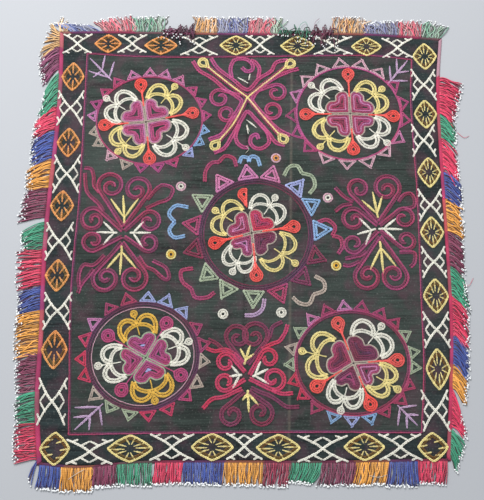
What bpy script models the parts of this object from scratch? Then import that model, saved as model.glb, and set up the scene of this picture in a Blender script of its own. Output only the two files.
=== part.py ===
"""Embroidered mirror cover, lying face up.

Two dark ground panels meet at a seam down the middle, and four lengths of fringe are sewn round the
edge. X runs across the cover, Y runs up it and Z is up. The cloth is hand sewn, wider at the top than
at the bottom, so each side is a short table of points with a smooth curve through them.
"""
import math
from collections import namedtuple

import bmesh
import bpy
import numpy as np
from mathutils import Matrix, Vector

# Cloth
CLOTH_THICK = 0.002
PIECE_GAP = 0.0003
SEAM_AT = 0.4955        # share of the width, from the left
SEAM_BOW = 0.0035       # how far it bows to the right at half height, same share
CREASE_AT = 0.612       # share of the width where the worn fold runs
CREASE_COLUMNS = 0.009  # share of the width between the mesh columns beside it
COLUMNS = 10            # mesh cells across one panel
ROWS = 26               # mesh cells up the cover

# Fringe
BAND = {"left": 0.0070, "top": 0.0045, "right": 0.0055, "bottom": 0.0040}
PITCH = 0.0086
STRAND_WIDE = 0.0040
TIP_SHARE = 0.7         # a tip's width and height, as a share of the root's
TIP_SPACING = 0.0055    # least distance between neighbouring tips, along the edge
BARE_RIGHT = 0.064      # the right side has no strands this far down from its top corner
DROOP = 1.5             # a strand leaves the band square and then bends aside by this power
STRAND_STEPS = (0.5, 1.0)   # shares of a flat strand's reach where it has a cross-section
WALL_FACING = 0.7       # a band's wall faces count as outer ones when their normal is this square to it

# A strand that is folded back goes round this hairpin and lies on the cloth
HAIRPIN_OUT = 0.0012
HAIRPIN_LOW = 0.0008
HAIRPIN_RADIUS = 0.00125
HAIRPIN_TURNS = 4
HAIRPIN_WIDE = 0.9      # share of the strand's width that goes into the hairpin
FOLDED_THICK = 0.0012
FOLDED_CLEAR = 0.00035

# Outline of the whole cover without its strands, each side from its first corner to its last
TOP_LEFT = (-0.2745, 0.3393)
TOP_RIGHT = (0.3000, 0.3278)
BOTTOM_RIGHT = (0.2735, -0.2862)
BOTTOM_LEFT = (-0.2692, -0.2912)
OUTLINE = {
    "left": [
        TOP_LEFT, (-0.2722, 0.2150), (-0.2798, 0.0220), (-0.2776, -0.1150), (-0.2775, -0.2070), BOTTOM_LEFT,
    ],
    "right": [
        TOP_RIGHT, (0.2917, 0.2490), (0.2899, 0.1470), (0.2898, -0.0810), (0.2828, -0.1920), BOTTOM_RIGHT,
    ],
    "top": [TOP_LEFT, (-0.2050, 0.3400), (-0.0527, 0.3376), (0.0600, 0.3363), (0.1820, 0.3366), TOP_RIGHT],
    "bottom": [BOTTOM_LEFT, (-0.2114, -0.2952), (-0.1205, -0.2888), (0.1050, -0.2888), BOTTOM_RIGHT],
}

# Soft ridges in the cloth: from one point to another, how high, and half their width
Fold = namedtuple("Fold", "x1 y1 x2 y2 high half")
FOLDS = [
    Fold(0.0740, 0.2900, 0.0620, -0.2550, 0.0018, 0.0065),
    Fold(-0.2600, 0.0120, 0.0050, 0.0160, 0.0026, 0.0170),
    Fold(-0.2300, 0.2620, 0.0500, 0.2560, 0.0012, 0.0150),
    Fold(-0.2200, 0.1680, -0.0100, 0.1720, 0.0014, 0.0160),
    Fold(0.0900, 0.1300, 0.2600, 0.1420, 0.0012, 0.0160),
]
FOLD_END = 0.035        # a ridge dies out over this length at each end

# How the strands lie: distance along the side, how far they reach past the edge, and how far their
# tips drift along it. A reach below zero is a strand folded back over the cloth.
Lie = namedtuple("Lie", "along reach drift")
LIES = {
    "left": [
        Lie(0.000, 0.0145, -0.012),
        Lie(0.014, 0.0205, 0.004),
        Lie(0.030, 0.0275, 0.022),
        Lie(0.070, 0.0205, 0.028),
        Lie(0.125, 0.0285, 0.022),
        Lie(0.165, 0.0315, 0.015),
        Lie(0.247, 0.0305, 0.004),
        Lie(0.288, 0.0365, 0.007),
        Lie(0.300, 0.0305, 0.013),
        Lie(0.335, 0.0325, 0.004),
        Lie(0.420, 0.0315, 0.010),
        Lie(0.534, 0.0255, 0.006),
        Lie(0.620, 0.0285, 0.004),
        Lie(0.629, 0.0115, 0.018),
    ],
    "top": [
        Lie(0.000, 0.0245, -0.004),
        Lie(0.016, 0.0125, -0.006),
        Lie(0.060, 0.0115, -0.020),
        Lie(0.100, 0.0225, -0.010),
        Lie(0.120, 0.0265, -0.002),
        Lie(0.157, 0.0255, 0.000),
        Lie(0.161, -0.012, 0.001),
        Lie(0.200, -0.015, 0.001),
        Lie(0.201, 0.0245, 0.001),
        Lie(0.331, 0.0255, 0.000),
        Lie(0.332, -0.010, 0.001),
        Lie(0.412, -0.016, 0.001),
        Lie(0.413, 0.0255, 0.000),
        Lie(0.462, 0.0165, -0.004),
        Lie(0.520, 0.0235, -0.002),
        Lie(0.572, 0.0215, 0.009),
    ],
    "right": [
        Lie(0.060, 0.0305, 0.008),
        Lie(0.130, 0.0215, 0.012),
        Lie(0.200, 0.0225, 0.015),
        Lie(0.310, 0.0225, 0.009),
        Lie(0.370, 0.0215, 0.016),
        Lie(0.510, 0.0185, 0.015),
        Lie(0.530, 0.0085, 0.028),
        Lie(0.568, 0.0205, 0.014),
        Lie(0.611, 0.0065, 0.019),
    ],
    "bottom": [
        Lie(0.000, 0.028, -0.002),
        Lie(0.155, 0.026, 0.000),
        Lie(0.290, 0.027, -0.002),
        Lie(0.350, 0.024, -0.008),
        Lie(0.450, 0.028, -0.006),
        Lie(0.500, 0.029, -0.003),
        Lie(0.540, 0.028, -0.003),
    ],
}

# Colours, linear, with one roughness for matt cotton and one for silk
GROUND_COLOUR = (0.018, 0.022, 0.021, 1.0)
FRINGE_COLOURS = {
    "left": (0.36, 0.16, 0.09, 1.0),
    "top": (0.30, 0.12, 0.14, 1.0),
    "right": (0.42, 0.09, 0.10, 1.0),
    "bottom": (0.38, 0.13, 0.11, 1.0),
}
COTTON_ROUGH = 0.92
SILK_ROUGH = 0.55


def clear_scene():
    """Remove every object, so that the file holds only the cover."""
    for thing in list(bpy.data.objects):
        bpy.data.objects.remove(thing, do_unlink=True)


def smooth_curve(points, fractions):
    """Places at fractions of the length of a Catmull-Rom curve through the points."""
    points = np.array(points)
    steps = np.linalg.norm(np.diff(points, axis=0), axis=1)
    knots = np.concatenate([[0.0], np.cumsum(steps)]) / steps.sum()
    fractions = np.asarray(fractions, dtype=float)
    span = np.clip(np.searchsorted(knots, fractions, side="right") - 1, 0, len(points) - 2)
    t = ((fractions - knots[span]) / (knots[span + 1] - knots[span]))[:, None]
    ends = np.vstack([2 * points[0] - points[1], points, 2 * points[-1] - points[-2]])
    a, b, c, d = (ends[span + i] for i in range(4))
    square = 2 * a - 5 * b + 4 * c - d
    cube = 3 * b - a - 3 * c + d
    return 0.5 * (2 * b + (c - a) * t + square * t ** 2 + cube * t ** 3)


def inset_side(side, fractions, gap):
    """Places along a side's curve, moved inward by the bands that meet there and a gap."""
    left = BAND["left"] + gap
    right = -BAND["right"] - gap
    top = -BAND["top"] - gap
    bottom = BAND["bottom"] + gap
    ends = {
        "left": ((left, top), (left, bottom)),
        "right": ((right, top), (right, bottom)),
        "top": ((left, top), (right, top)),
        "bottom": ((left, bottom), (right, bottom)),
    }
    first, last = np.array(ends[side])
    share = np.asarray(fractions, dtype=float)[:, None]
    return smooth_curve(OUTLINE[side], fractions) + first * (1.0 - share) + last * share


def cloth_points(across, down):
    """Coons patch between the four inset sides, at shares of the width and of the height."""
    left = inset_side("left", down, PIECE_GAP)
    right = inset_side("right", down, PIECE_GAP)
    top = inset_side("top", across, PIECE_GAP)
    bottom = inset_side("bottom", across, PIECE_GAP)
    u = across[:, None]
    v = down[:, None]
    corners = [inset_side(side, [end], PIECE_GAP)[0] for side in ("top", "bottom") for end in (0.0, 1.0)]
    flat = (1 - v) * ((1 - u) * corners[0] + u * corners[1]) + v * ((1 - u) * corners[2] + u * corners[3])
    return (1 - u) * left + u * right + (1 - v) * top + v * bottom - flat


def ridge_height(x, y):
    """Height of the cloth's underside: the folds' bumps, and nought wherever it lies flat."""
    height = np.zeros_like(x)
    for fold in FOLDS:
        run = np.array([fold.x2 - fold.x1, fold.y2 - fold.y1])
        length = np.linalg.norm(run)
        run = run / length
        along = (x - fold.x1) * run[0] + (y - fold.y1) * run[1]
        aside = (x - fold.x1) * run[1] - (y - fold.y1) * run[0]
        bump = np.clip(1.0 - (aside / fold.half) ** 2, 0.0, 1.0) ** 2
        fade = np.clip(np.minimum(along, length - along) / FOLD_END, 0.0, 1.0)
        height = np.maximum(height, fold.high * bump * fade * fade * (3.0 - 2.0 * fade))
    return height


def thicken_upward(mesh_edit, thick):
    """Raise a copy of an open sheet by its thickness and wall its rim, so that it is a closed body."""
    faces = list(mesh_edit.faces)
    raised = bmesh.ops.extrude_face_region(mesh_edit, geom=faces, use_keep_orig=True)
    upper = [item for item in raised["geom"] if isinstance(item, bmesh.types.BMVert)]
    bmesh.ops.translate(mesh_edit, vec=Vector((0.0, 0.0, thick)), verts=upper)
    bmesh.ops.recalc_face_normals(mesh_edit, faces=mesh_edit.faces)


def make_object(mesh_edit, name, colour, rough, collection):
    """Turn an edited mesh into a named object with its own material."""
    mesh = bpy.data.meshes.new(name)
    mesh_edit.to_mesh(mesh)
    mesh_edit.free()
    material = bpy.data.materials.new(name)
    material.use_nodes = True
    shader = material.node_tree.nodes["Principled BSDF"]
    shader.inputs["Base Color"].default_value = colour
    shader.inputs["Roughness"].default_value = rough
    shader.inputs["Metallic"].default_value = 0.0
    mesh.materials.append(material)
    thing = bpy.data.objects.new(name, mesh)
    collection.objects.link(thing)
    return thing


def make_panel(name, columns, edge, gap, collection):
    """One ground panel: a grid laid on the outline and its folds, then thickened.

    The columns are shares of the cover's width. The one at the seam, named by edge, follows the
    seam's bow and stops half a gap short of it.
    """
    mesh_edit = bmesh.new()
    count = len(columns) - 1
    bmesh.ops.create_grid(mesh_edit, x_segments=count, y_segments=ROWS, size=1.0)
    mesh_edit.verts.ensure_lookup_table()
    place = np.array([vert.co[:2] for vert in mesh_edit.verts])
    share = np.rint((place[:, 0] + 1.0) * 0.5 * count).astype(int)
    down = (1.0 - place[:, 1]) * 0.5
    near_seam = 1.0 - np.abs(columns[share] - SEAM_AT) / np.abs(columns - SEAM_AT).max()
    across = columns[share] + SEAM_BOW * np.sin(math.pi * down) * near_seam
    spots = cloth_points(across, down)
    spots[:, 0] += np.where(share == edge, gap, 0.0)
    height = ridge_height(spots[:, 0], spots[:, 1])
    for vert, spot, high in zip(mesh_edit.verts, spots, height):
        vert.co = (spot[0], spot[1], high)
    thicken_upward(mesh_edit, CLOTH_THICK)
    return make_object(mesh_edit, name, GROUND_COLOUR, COTTON_ROUGH, collection)


def make_panels(collection):
    """The two halves of the ground, with mesh columns beside the worn crease in the right one."""
    left = np.linspace(0.0, SEAM_AT, COLUMNS + 1)
    even = np.linspace(SEAM_AT, 1.0, COLUMNS + 1)
    crease = CREASE_AT + CREASE_COLUMNS * np.arange(-1, 2)
    clear = even[np.abs(even - CREASE_AT) > 2.0 * CREASE_COLUMNS]
    right = np.sort(np.concatenate([clear, crease]))
    return [
        make_panel("panel_left", left, len(left) - 1, -0.5 * PIECE_GAP, collection),
        make_panel("panel_right", right, 0, 0.5 * PIECE_GAP, collection),
    ]


def side_directions(side):
    """Unit vectors along a side, from its first corner to its last, and square outward from it."""
    first = Vector(OUTLINE[side][0])
    last = Vector(OUTLINE[side][-1])
    along = (last - first).normalized()
    outward = Vector((along.y, -along.x))
    if outward.dot(first) < 0.0:
        outward.negate()
    return along.to_3d(), outward.to_3d(), (last - first).length


def push_face(mesh_edit, face, move, axis, turn, wide, high):
    """Extrude one face, then move, turn and resize its far end. Returns the far face."""
    grown = bmesh.ops.extrude_discrete_faces(mesh_edit, faces=[face])["faces"][0]
    verts = list(grown.verts)
    middle = grown.calc_center_median()
    thick_way = axis.cross(grown.normal).normalized()
    for vert in verts:
        offset = vert.co - middle
        along = axis * offset.dot(axis) * wide
        through = thick_way * offset.dot(thick_way) * high
        vert.co = middle + along + through
    spin = Matrix.Rotation(turn, 3, axis)
    bmesh.ops.rotate(mesh_edit, verts=verts, cent=middle, matrix=spin)
    bmesh.ops.translate(mesh_edit, verts=verts, vec=move)
    grown.normal_update()
    return grown


def grow_flat_strand(mesh_edit, face, along, outward, reach, drift):
    """A strand that lies level on the surface and bends aside toward its tip."""
    shrink = TIP_SHARE ** (1.0 / len(STRAND_STEPS))
    before = 0.0
    high = CLOTH_THICK
    for step in STRAND_STEPS:
        sink = 0.5 * high * (1.0 - shrink)
        move = outward * reach * (step - before)
        move += along * drift * (step ** DROOP - before ** DROOP)
        move.z -= sink
        face = push_face(mesh_edit, face, move, along, 0.0, shrink, shrink)
        before = step
        high *= shrink


def grow_folded_strand(mesh_edit, face, along, outward, reach, drift):
    """A strand that turns back round a hairpin and lies over the band and the cloth."""
    thin = FOLDED_THICK / CLOTH_THICK
    up = Vector((0.0, 0.0, 1.0))
    turn_sign = 1.0 if along.cross(up).dot(outward) > 0.0 else -1.0
    move = outward * HAIRPIN_OUT + up * (HAIRPIN_LOW - 0.5 * CLOTH_THICK)
    face = push_face(mesh_edit, face, move, along, 0.0, HAIRPIN_WIDE, thin)
    step = math.pi / HAIRPIN_TURNS
    for i in range(HAIRPIN_TURNS):
        start = step * i
        end = step * (i + 1)
        move = outward * HAIRPIN_RADIUS * (math.sin(end) - math.sin(start))
        move += up * HAIRPIN_RADIUS * (math.cos(start) - math.cos(end))
        face = push_face(mesh_edit, face, move, along, -turn_sign * step, 1.0, 1.0)
    rest = CLOTH_THICK + FOLDED_CLEAR + 0.5 * FOLDED_THICK
    fall = rest - HAIRPIN_LOW - 2.0 * HAIRPIN_RADIUS
    move = outward * (reach - HAIRPIN_OUT) + along * drift + up * fall
    push_face(mesh_edit, face, move, along, 0.0, TIP_SHARE, 1.0)


def make_fringe(side, collection):
    """One length of fringe: a flat band whose outer wall is divided, with a strand on every other cell."""
    along, outward, length = side_directions(side)
    start = BARE_RIGHT if side == "right" else 0.5 * (PITCH - STRAND_WIDE)
    count = int((length - start - STRAND_WIDE) / PITCH)
    roots = start + PITCH * np.arange(count)
    cuts = np.sort(np.concatenate([[PIECE_GAP], roots, roots + STRAND_WIDE, [length - PIECE_GAP]]))
    shares = cuts / length

    mesh_edit = bmesh.new()
    bmesh.ops.create_grid(mesh_edit, x_segments=len(cuts) - 1, y_segments=1, size=1.0)
    outer = smooth_curve(OUTLINE[side], shares)
    inner = inset_side(side, shares, 0.0)
    for vert in mesh_edit.verts:
        cell = int(round((vert.co.x + 1.0) * 0.5 * (len(cuts) - 1)))
        spot = outer[cell] if vert.co.y > 0.0 else inner[cell]
        vert.co = (spot[0], spot[1], 0.0)
    thicken_upward(mesh_edit, CLOTH_THICK)

    first = Vector((*OUTLINE[side][0], 0.0))
    walls = []
    for face in mesh_edit.faces:
        if face.normal.dot(outward) > WALL_FACING:
            walls.append(((face.calc_center_median() - first).dot(along), face))
    walls.sort(key=lambda wall: wall[0])

    table = LIES[side]
    distances = [row.along for row in table]
    reaches = [row.reach for row in table]
    drifts = [row.drift for row in table]
    last_tip = -length
    for distance, face in walls[1::2]:
        reach = float(np.interp(distance, distances, reaches))
        drift = float(np.interp(distance, distances, drifts))
        tip = max(distance + drift, last_tip + TIP_SPACING)
        last_tip = tip
        grow = grow_flat_strand if reach > 0.0 else grow_folded_strand
        grow(mesh_edit, face, along, outward, reach, tip - distance)
    name = "fringe_" + side
    return make_object(mesh_edit, name, FRINGE_COLOURS[side], SILK_ROUGH, collection)


def stand_on_origin(things):
    """Move the meshes so that the whole cover's box stands on the origin by its bottom centre."""
    corners = np.array([vert.co for thing in things for vert in thing.data.vertices])
    low = corners.min(axis=0)
    high = corners.max(axis=0)
    shift = Matrix.Translation((-0.5 * (low[0] + high[0]), -0.5 * (low[1] + high[1]), -low[2]))
    for thing in things:
        thing.data.transform(shift)


def main():
    """Build the cover in its own collection."""
    clear_scene()
    collection = bpy.data.collections.new("embroidered_mirror_cover")
    bpy.context.scene.collection.children.link(collection)
    things = make_panels(collection)
    for side in OUTLINE:
        things.append(make_fringe(side, collection))
    stand_on_origin(things)


main()
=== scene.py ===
import math

import bmesh
import bpy
import numpy as np
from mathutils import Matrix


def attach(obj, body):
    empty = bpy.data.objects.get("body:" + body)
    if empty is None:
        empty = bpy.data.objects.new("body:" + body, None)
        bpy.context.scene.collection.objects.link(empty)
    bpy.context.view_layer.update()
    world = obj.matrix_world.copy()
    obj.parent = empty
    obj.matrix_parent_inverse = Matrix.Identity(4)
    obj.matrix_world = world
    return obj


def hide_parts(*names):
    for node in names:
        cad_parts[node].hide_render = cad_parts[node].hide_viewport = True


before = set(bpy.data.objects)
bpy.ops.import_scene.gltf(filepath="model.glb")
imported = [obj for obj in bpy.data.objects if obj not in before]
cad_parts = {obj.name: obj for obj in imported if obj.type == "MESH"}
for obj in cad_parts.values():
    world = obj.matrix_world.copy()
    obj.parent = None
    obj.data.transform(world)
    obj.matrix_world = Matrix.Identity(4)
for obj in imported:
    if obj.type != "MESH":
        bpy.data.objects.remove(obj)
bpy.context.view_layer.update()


# Floor, light and camera
# The cover lies on a plain pale floor under one broad soft lamp and an even sky. The camera looks down
# on it from beside its lower edge, 14.4 degrees off plumb, at the point that the pattern is drawn from.

DRAWING_ORIGIN = (-0.0040, -0.0217)
CAMERA_AWAY = 1.12
CAMERA_TILT = math.radians(14.44)
CAMERA_LENS_MM = 57.6
FLOOR_SIDE = 8.0
FLOOR_COLOUR = (0.385, 0.395, 0.415, 1.0)
FLOOR_SHADE = (0.3696, 0.3792, 0.3984, 1.0)
FLOOR_GRAIN = 3.0
FLOOR_ROUGH = 0.85
LAMP_PLACE = (-0.55, 1.15, 1.7)
LAMP_SIDE = 1.3
LAMP_WATTS = 60.0
SKY_COLOUR = (0.92, 0.96, 1.0, 1.0)
SKY_STRENGTH = 0.62


def new_material(name):
    """A material, its node tree and its Principled shader."""
    material = bpy.data.materials.new(name)
    material.use_nodes = True
    tree = material.node_tree
    return material, tree, tree.nodes["Principled BSDF"]


def link(tree, source, target):
    """Join an output socket to an input socket."""
    tree.links.new(source, target)


def fill(tree, node, values):
    """Give a node's inputs, by name, their values, or join them to the sockets given."""
    for name, value in values.items():
        if isinstance(value, bpy.types.NodeSocket):
            link(tree, value, node.inputs[name])
        else:
            node.inputs[name].default_value = value


def object_place(tree):
    """The place on the piece, from its own origin."""
    return tree.nodes.new("ShaderNodeTexCoord").outputs["Object"]


def mix_node(tree, share, first, second, blend="MIX"):
    """A colour Mix node on sockets, numbers or colours. Returns its output."""
    node = tree.nodes.new("ShaderNodeMix")
    node.data_type = "RGBA"
    node.blend_type = blend
    for name, value in (("Factor", share), ("A", first), ("B", second)):
        socket = [item for item in node.inputs if item.name == name and item.enabled][0]
        if isinstance(value, bpy.types.NodeSocket):
            link(tree, value, socket)
        else:
            socket.default_value = value
    return [item for item in node.outputs if item.enabled][0]


def noise_node(tree, place, scale, detail=3.0, stretch=(1.0, 1.0, 1.0)):
    """A Noise texture read at a stretched place. Returns its grey output."""
    fit = tree.nodes.new("ShaderNodeMapping")
    fill(tree, fit, {"Vector": place, "Scale": stretch})
    node = tree.nodes.new("ShaderNodeTexNoise")
    fill(tree, node, {"Vector": fit.outputs["Vector"], "Scale": scale, "Detail": detail})
    return node.outputs["Fac"]


def make_floor():
    """One flat square with a faint grain, which the cover lies on."""
    half = 0.5 * FLOOR_SIDE
    mesh = bpy.data.meshes.new("floor")
    corners = [(-half, -half, 0.0), (half, -half, 0.0), (half, half, 0.0), (-half, half, 0.0)]
    mesh.from_pydata(corners, [], [(0, 1, 2, 3)])
    floor = bpy.data.objects.new("floor", mesh)
    bpy.context.scene.collection.objects.link(floor)
    material, tree, shader = new_material("floor")
    grain = noise_node(tree, object_place(tree), FLOOR_GRAIN, 2.0)
    tone = mix_node(tree, grain, FLOOR_COLOUR, FLOOR_SHADE)
    fill(tree, shader, {"Base Color": tone, "Roughness": FLOOR_ROUGH})
    mesh.materials.append(material)


def make_light():
    """A broad square lamp above the cover's upper left, aimed at its middle, and a pale even sky."""
    lamp = bpy.data.lights.new("soft lamp", "AREA")
    lamp.size = LAMP_SIDE
    lamp.energy = LAMP_WATTS
    holder = bpy.data.objects.new("soft lamp", lamp)
    holder.location = LAMP_PLACE
    aim = -holder.location.normalized()
    holder.rotation_euler = aim.to_track_quat("-Z", "Y").to_euler()
    bpy.context.scene.collection.objects.link(holder)
    world = bpy.data.worlds.new("sky")
    world.use_nodes = True
    sky = world.node_tree.nodes["Background"]
    sky.inputs["Color"].default_value = SKY_COLOUR
    sky.inputs["Strength"].default_value = SKY_STRENGTH
    bpy.context.scene.world = world


def make_camera():
    """A camera so far from the drawing's origin, tilted toward the lower edge, that looks at it."""
    lens = bpy.data.cameras.new("camera")
    lens.lens = CAMERA_LENS_MM
    camera = bpy.data.objects.new("camera", lens)
    down = -CAMERA_AWAY * math.sin(CAMERA_TILT)
    up = CAMERA_AWAY * math.cos(CAMERA_TILT)
    camera.location = (DRAWING_ORIGIN[0], DRAWING_ORIGIN[1] + down, up)
    camera.rotation_euler = (CAMERA_TILT, 0.0, 0.0)
    bpy.context.scene.collection.objects.link(camera)
    bpy.context.scene.camera = camera
    bpy.context.scene.view_settings.view_transform = "Standard"


make_floor()
make_light()
make_camera()


# Ground panels
# Two lengths of black cotton with a slubbed cross rib, sewn together down the middle. Each is one thin
# sheet lying face up, with the soft ridges where it has been folded, and replaces its plain solid.
# Everything from here on is drawn in millimetres from the drawing's origin, X across and Y up.

MM = 0.001
CLOTH_TOP = 2.0
SEAM_SHARE = 0.4955
SEAM_BOW = 0.0035
PANEL_SPAN = (560.0, 620.0)
PANEL_CELL = 5.0
PIECE_GAP = 0.3
BAND_WIDE = {"left": 7.0, "top": 4.5, "right": 5.5, "bottom": 4.0}
TOP_LEFT = (-274.5, 339.3)
TOP_RIGHT = (300.0, 327.8)
BOTTOM_RIGHT = (273.5, -286.2)
BOTTOM_LEFT = (-269.2, -291.2)
OUTLINE = {
    "left": [
        TOP_LEFT, (-272.2, 215.0), (-279.8, 22.0), (-277.6, -115.0), (-277.5, -207.0), BOTTOM_LEFT,
    ],
    "right": [
        TOP_RIGHT, (291.7, 249.0), (289.9, 147.0), (289.8, -81.0), (282.8, -192.0), BOTTOM_RIGHT,
    ],
    "top": [TOP_LEFT, (-205.0, 340.0), (-52.7, 337.6), (60.0, 336.3), (182.0, 336.6), TOP_RIGHT],
    "bottom": [BOTTOM_LEFT, (-211.4, -295.2), (-120.5, -288.8), (105.0, -288.8), BOTTOM_RIGHT],
}
# Each ridge: from x, y to x, y, its height, and half its width
RIDGES = [
    (74.0, 290.0, 62.0, -255.0, 1.8, 6.5),
    (-260.0, 12.0, 5.0, 16.0, 2.6, 17.0),
    (-230.0, 262.0, 50.0, 256.0, 1.2, 15.0),
    (-220.0, 168.0, -10.0, 172.0, 1.4, 16.0),
    (90.0, 130.0, 260.0, 142.0, 1.2, 16.0),
]
RIDGE_END = 35.0
PUCKER = 0.22
# The pucker's waves across and up, and the slow wave of the other way that bends each: lengths over tau
PUCKER_WAVES = ((17.0, 31.0), (13.0, 43.0))
# The line round the field, outside which the ground is darker
FIELD_LINE = {
    "left": [
        (-230.8, 301.6), (-230.9, 197.0), (-231.5, 76.0), (-236.0, -64.7), (-231.2, -192.3), (-228.9, -252.2),
    ],
    "right": [
        (252.0, 291.8), (247.2, 214.5), (249.0, 75.7), (246.6, -47.6), (244.7, -161.7), (236.8, -249.6),
    ],
    "top": [(-230.8, 301.6), (-122.5, 296.0), (34.0, 296.8), (181.3, 298.5), (252.0, 291.8)],
    "bottom": [(-228.9, -252.2), (-109.0, -250.2), (106.1, -248.8), (236.8, -249.6)],
}
WEAVE_THREADS = 330.0
WEAVE_SLUB = 1.0
WEAVE_WAVES = {"Distortion": 1.2, "Detail": 1.0, "Detail Scale": 0.4}
WARP_SHARE = 0.8
SLUB_STRETCH = (22.0, 420.0, 1.0)
STREAK_STRETCH = (6.0, 110.0, 1.0)
WEAVE_PATCHES = 7.0
COTTON_DARK = (0.0150, 0.0175, 0.0165, 1.0)
COTTON_PALE = (0.0440, 0.0600, 0.0520, 1.0)
HEM_TINT = (0.62, 0.68, 0.80, 1.0)
# Dust, bled dye and lint: noise scale and detail; where its mask starts and is full; its most; its colour
PATCHES = [
    (5.0, 5.0, 0.52, 0.80, 0.30, (0.092, 0.092, 0.086, 1.0)),
    (34.0, 5.0, 0.46, 0.66, 0.46, (0.092, 0.040, 0.058, 1.0)),
    (420.0, 2.0, 0.58, 0.78, 0.60, (0.135, 0.140, 0.130, 1.0)),
]
RUB_HALF = 3.2
RUB_GRAIN = 260.0
RUB_MOST = 0.75
RUB_COLOUR = (0.150, 0.125, 0.100, 1.0)


def curve_through(points, shares):
    """Places at shares of the length of a Catmull-Rom curve through the points."""
    points = np.asarray(points, dtype=float)
    steps = np.linalg.norm(np.diff(points, axis=0), axis=1)
    knots = np.concatenate([[0.0], np.cumsum(steps)]) / steps.sum()
    shares = np.asarray(shares, dtype=float)
    span = np.clip(np.searchsorted(knots, shares, side="right") - 1, 0, len(points) - 2)
    t = ((shares - knots[span]) / (knots[span + 1] - knots[span]))[:, None]
    ends = np.vstack([2 * points[0] - points[1], points, 2 * points[-1] - points[-2]])
    a, b, c, d = (ends[span + i] for i in range(4))
    square = 2 * a - 5 * b + 4 * c - d
    cube = 3 * b - a - 3 * c + d
    return 0.5 * (2 * b + (c - a) * t + square * t ** 2 + cube * t ** 3)


def inset_side(side, shares, extra):
    """Places along a side of the outline, moved inward past the bands that meet there and a bit extra."""
    left = BAND_WIDE["left"] + extra
    right = -BAND_WIDE["right"] - extra
    top = -BAND_WIDE["top"] - extra
    bottom = BAND_WIDE["bottom"] + extra
    ends = {
        "left": ((left, top), (left, bottom)),
        "right": ((right, top), (right, bottom)),
        "top": ((left, top), (right, top)),
        "bottom": ((left, bottom), (right, bottom)),
    }
    first, last = np.array(ends[side])
    share = np.asarray(shares, dtype=float)[:, None]
    return curve_through(OUTLINE[side], shares) + first * (1.0 - share) + last * share


def cloth_places(across, down):
    """Coons patch between the four inset sides, for arrays of shares of the width and of the height."""
    left = inset_side("left", down, PIECE_GAP)
    right = inset_side("right", down, PIECE_GAP)
    top = inset_side("top", across, PIECE_GAP)
    bottom = inset_side("bottom", across, PIECE_GAP)
    u = across[:, None]
    v = down[:, None]
    corners = [inset_side(side, [end], PIECE_GAP)[0] for side in ("top", "bottom") for end in (0.0, 1.0)]
    flat = (1 - v) * ((1 - u) * corners[0] + u * corners[1]) + v * ((1 - u) * corners[2] + u * corners[3])
    return (1 - u) * left + u * right + (1 - v) * top + v * bottom - flat


def cloth_height(x, y):
    """Height of the cloth's face: its thickness, each ridge's rounded bump that fades toward the ends of
    its run, and a shallow pucker that is a product of sines."""
    height = np.zeros_like(x)
    for x1, y1, x2, y2, high, half in RIDGES:
        length = math.hypot(x2 - x1, y2 - y1)
        run = ((x2 - x1) / length, (y2 - y1) / length)
        along = (x - x1) * run[0] + (y - y1) * run[1]
        aside = (x - x1) * run[1] - (y - y1) * run[0]
        bump = np.clip(1.0 - (aside / half) ** 2, 0.0, 1.0) ** 2
        fade = np.clip(np.minimum(along, length - along) / RIDGE_END, 0.0, 1.0)
        height = np.maximum(height, high * bump * fade * fade * (3.0 - 2.0 * fade))
    (across, slow_up), (up, slow_across) = PUCKER_WAVES
    pucker = 1.0 + np.sin(x / across + np.sin(y / slow_up)) * np.sin(y / up + np.sin(x / slow_across))
    return CLOTH_TOP + height + PUCKER * pucker


def past_field(x, y):
    """Distance outside the field line, less than nought inside it: the most of the four distances past
    its sides, each side read as a function of x or of y."""
    left, right = (np.array(FIELD_LINE[side])[::-1] for side in ("left", "right"))
    top, bottom = (np.array(FIELD_LINE[side]) for side in ("top", "bottom"))
    return np.max([
        np.interp(y, left[:, 1], left[:, 0]) - x, x - np.interp(y, right[:, 1], right[:, 0]),
        y - np.interp(x, top[:, 0], top[:, 1]), np.interp(x, bottom[:, 0], bottom[:, 1]) - y,
    ], axis=0)


def to_frame(x, y, z):
    """Millimetres of the drawing to metres of the cover's frame, as one array of points."""
    return np.stack([x * MM + DRAWING_ORIGIN[0], y * MM + DRAWING_ORIGIN[1], z * MM], axis=-1)


def quads_mesh(name, points, quads, material, dyes=None, corners=None):
    """An object from arrays: points, quads of point numbers, and for each point a dye, for each quad
    corner a UV place."""
    mesh = bpy.data.meshes.new(name)
    mesh.vertices.add(len(points))
    mesh.vertices.foreach_set("co", np.asarray(points, dtype=np.float32).ravel())
    mesh.loops.add(4 * len(quads))
    mesh.loops.foreach_set("vertex_index", np.asarray(quads, dtype=np.int32).ravel())
    mesh.polygons.add(len(quads))
    mesh.polygons.foreach_set("loop_start", np.arange(0, 4 * len(quads), 4, dtype=np.int32))
    mesh.update(calc_edges=True)
    if dyes is not None:
        shade = mesh.attributes.new("dye", "FLOAT_COLOR", "POINT")
        opaque = np.concatenate([dyes, np.ones((len(dyes), 1))], axis=1)
        shade.data.foreach_set("color", opaque.astype(np.float32).ravel())
    if corners is not None:
        layer = mesh.uv_layers.new(name="thread")
        layer.data.foreach_set("uv", np.asarray(corners, dtype=np.float32).ravel())
    mesh.validate()
    mesh.shade_smooth()
    mesh.materials.append(material)
    thing = bpy.data.objects.new(name, mesh)
    bpy.context.scene.collection.objects.link(thing)
    return thing


def grid_quads(rows, columns):
    """Quads of a grid whose points are numbered row by row, facing up when X runs with the columns and
    Y against the rows."""
    corner = (np.arange(rows - 1)[:, None] * columns + np.arange(columns - 1)[None, :]).ravel()
    return np.stack([corner, corner + columns, corner + columns + 1, corner + 1], axis=1)


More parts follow.
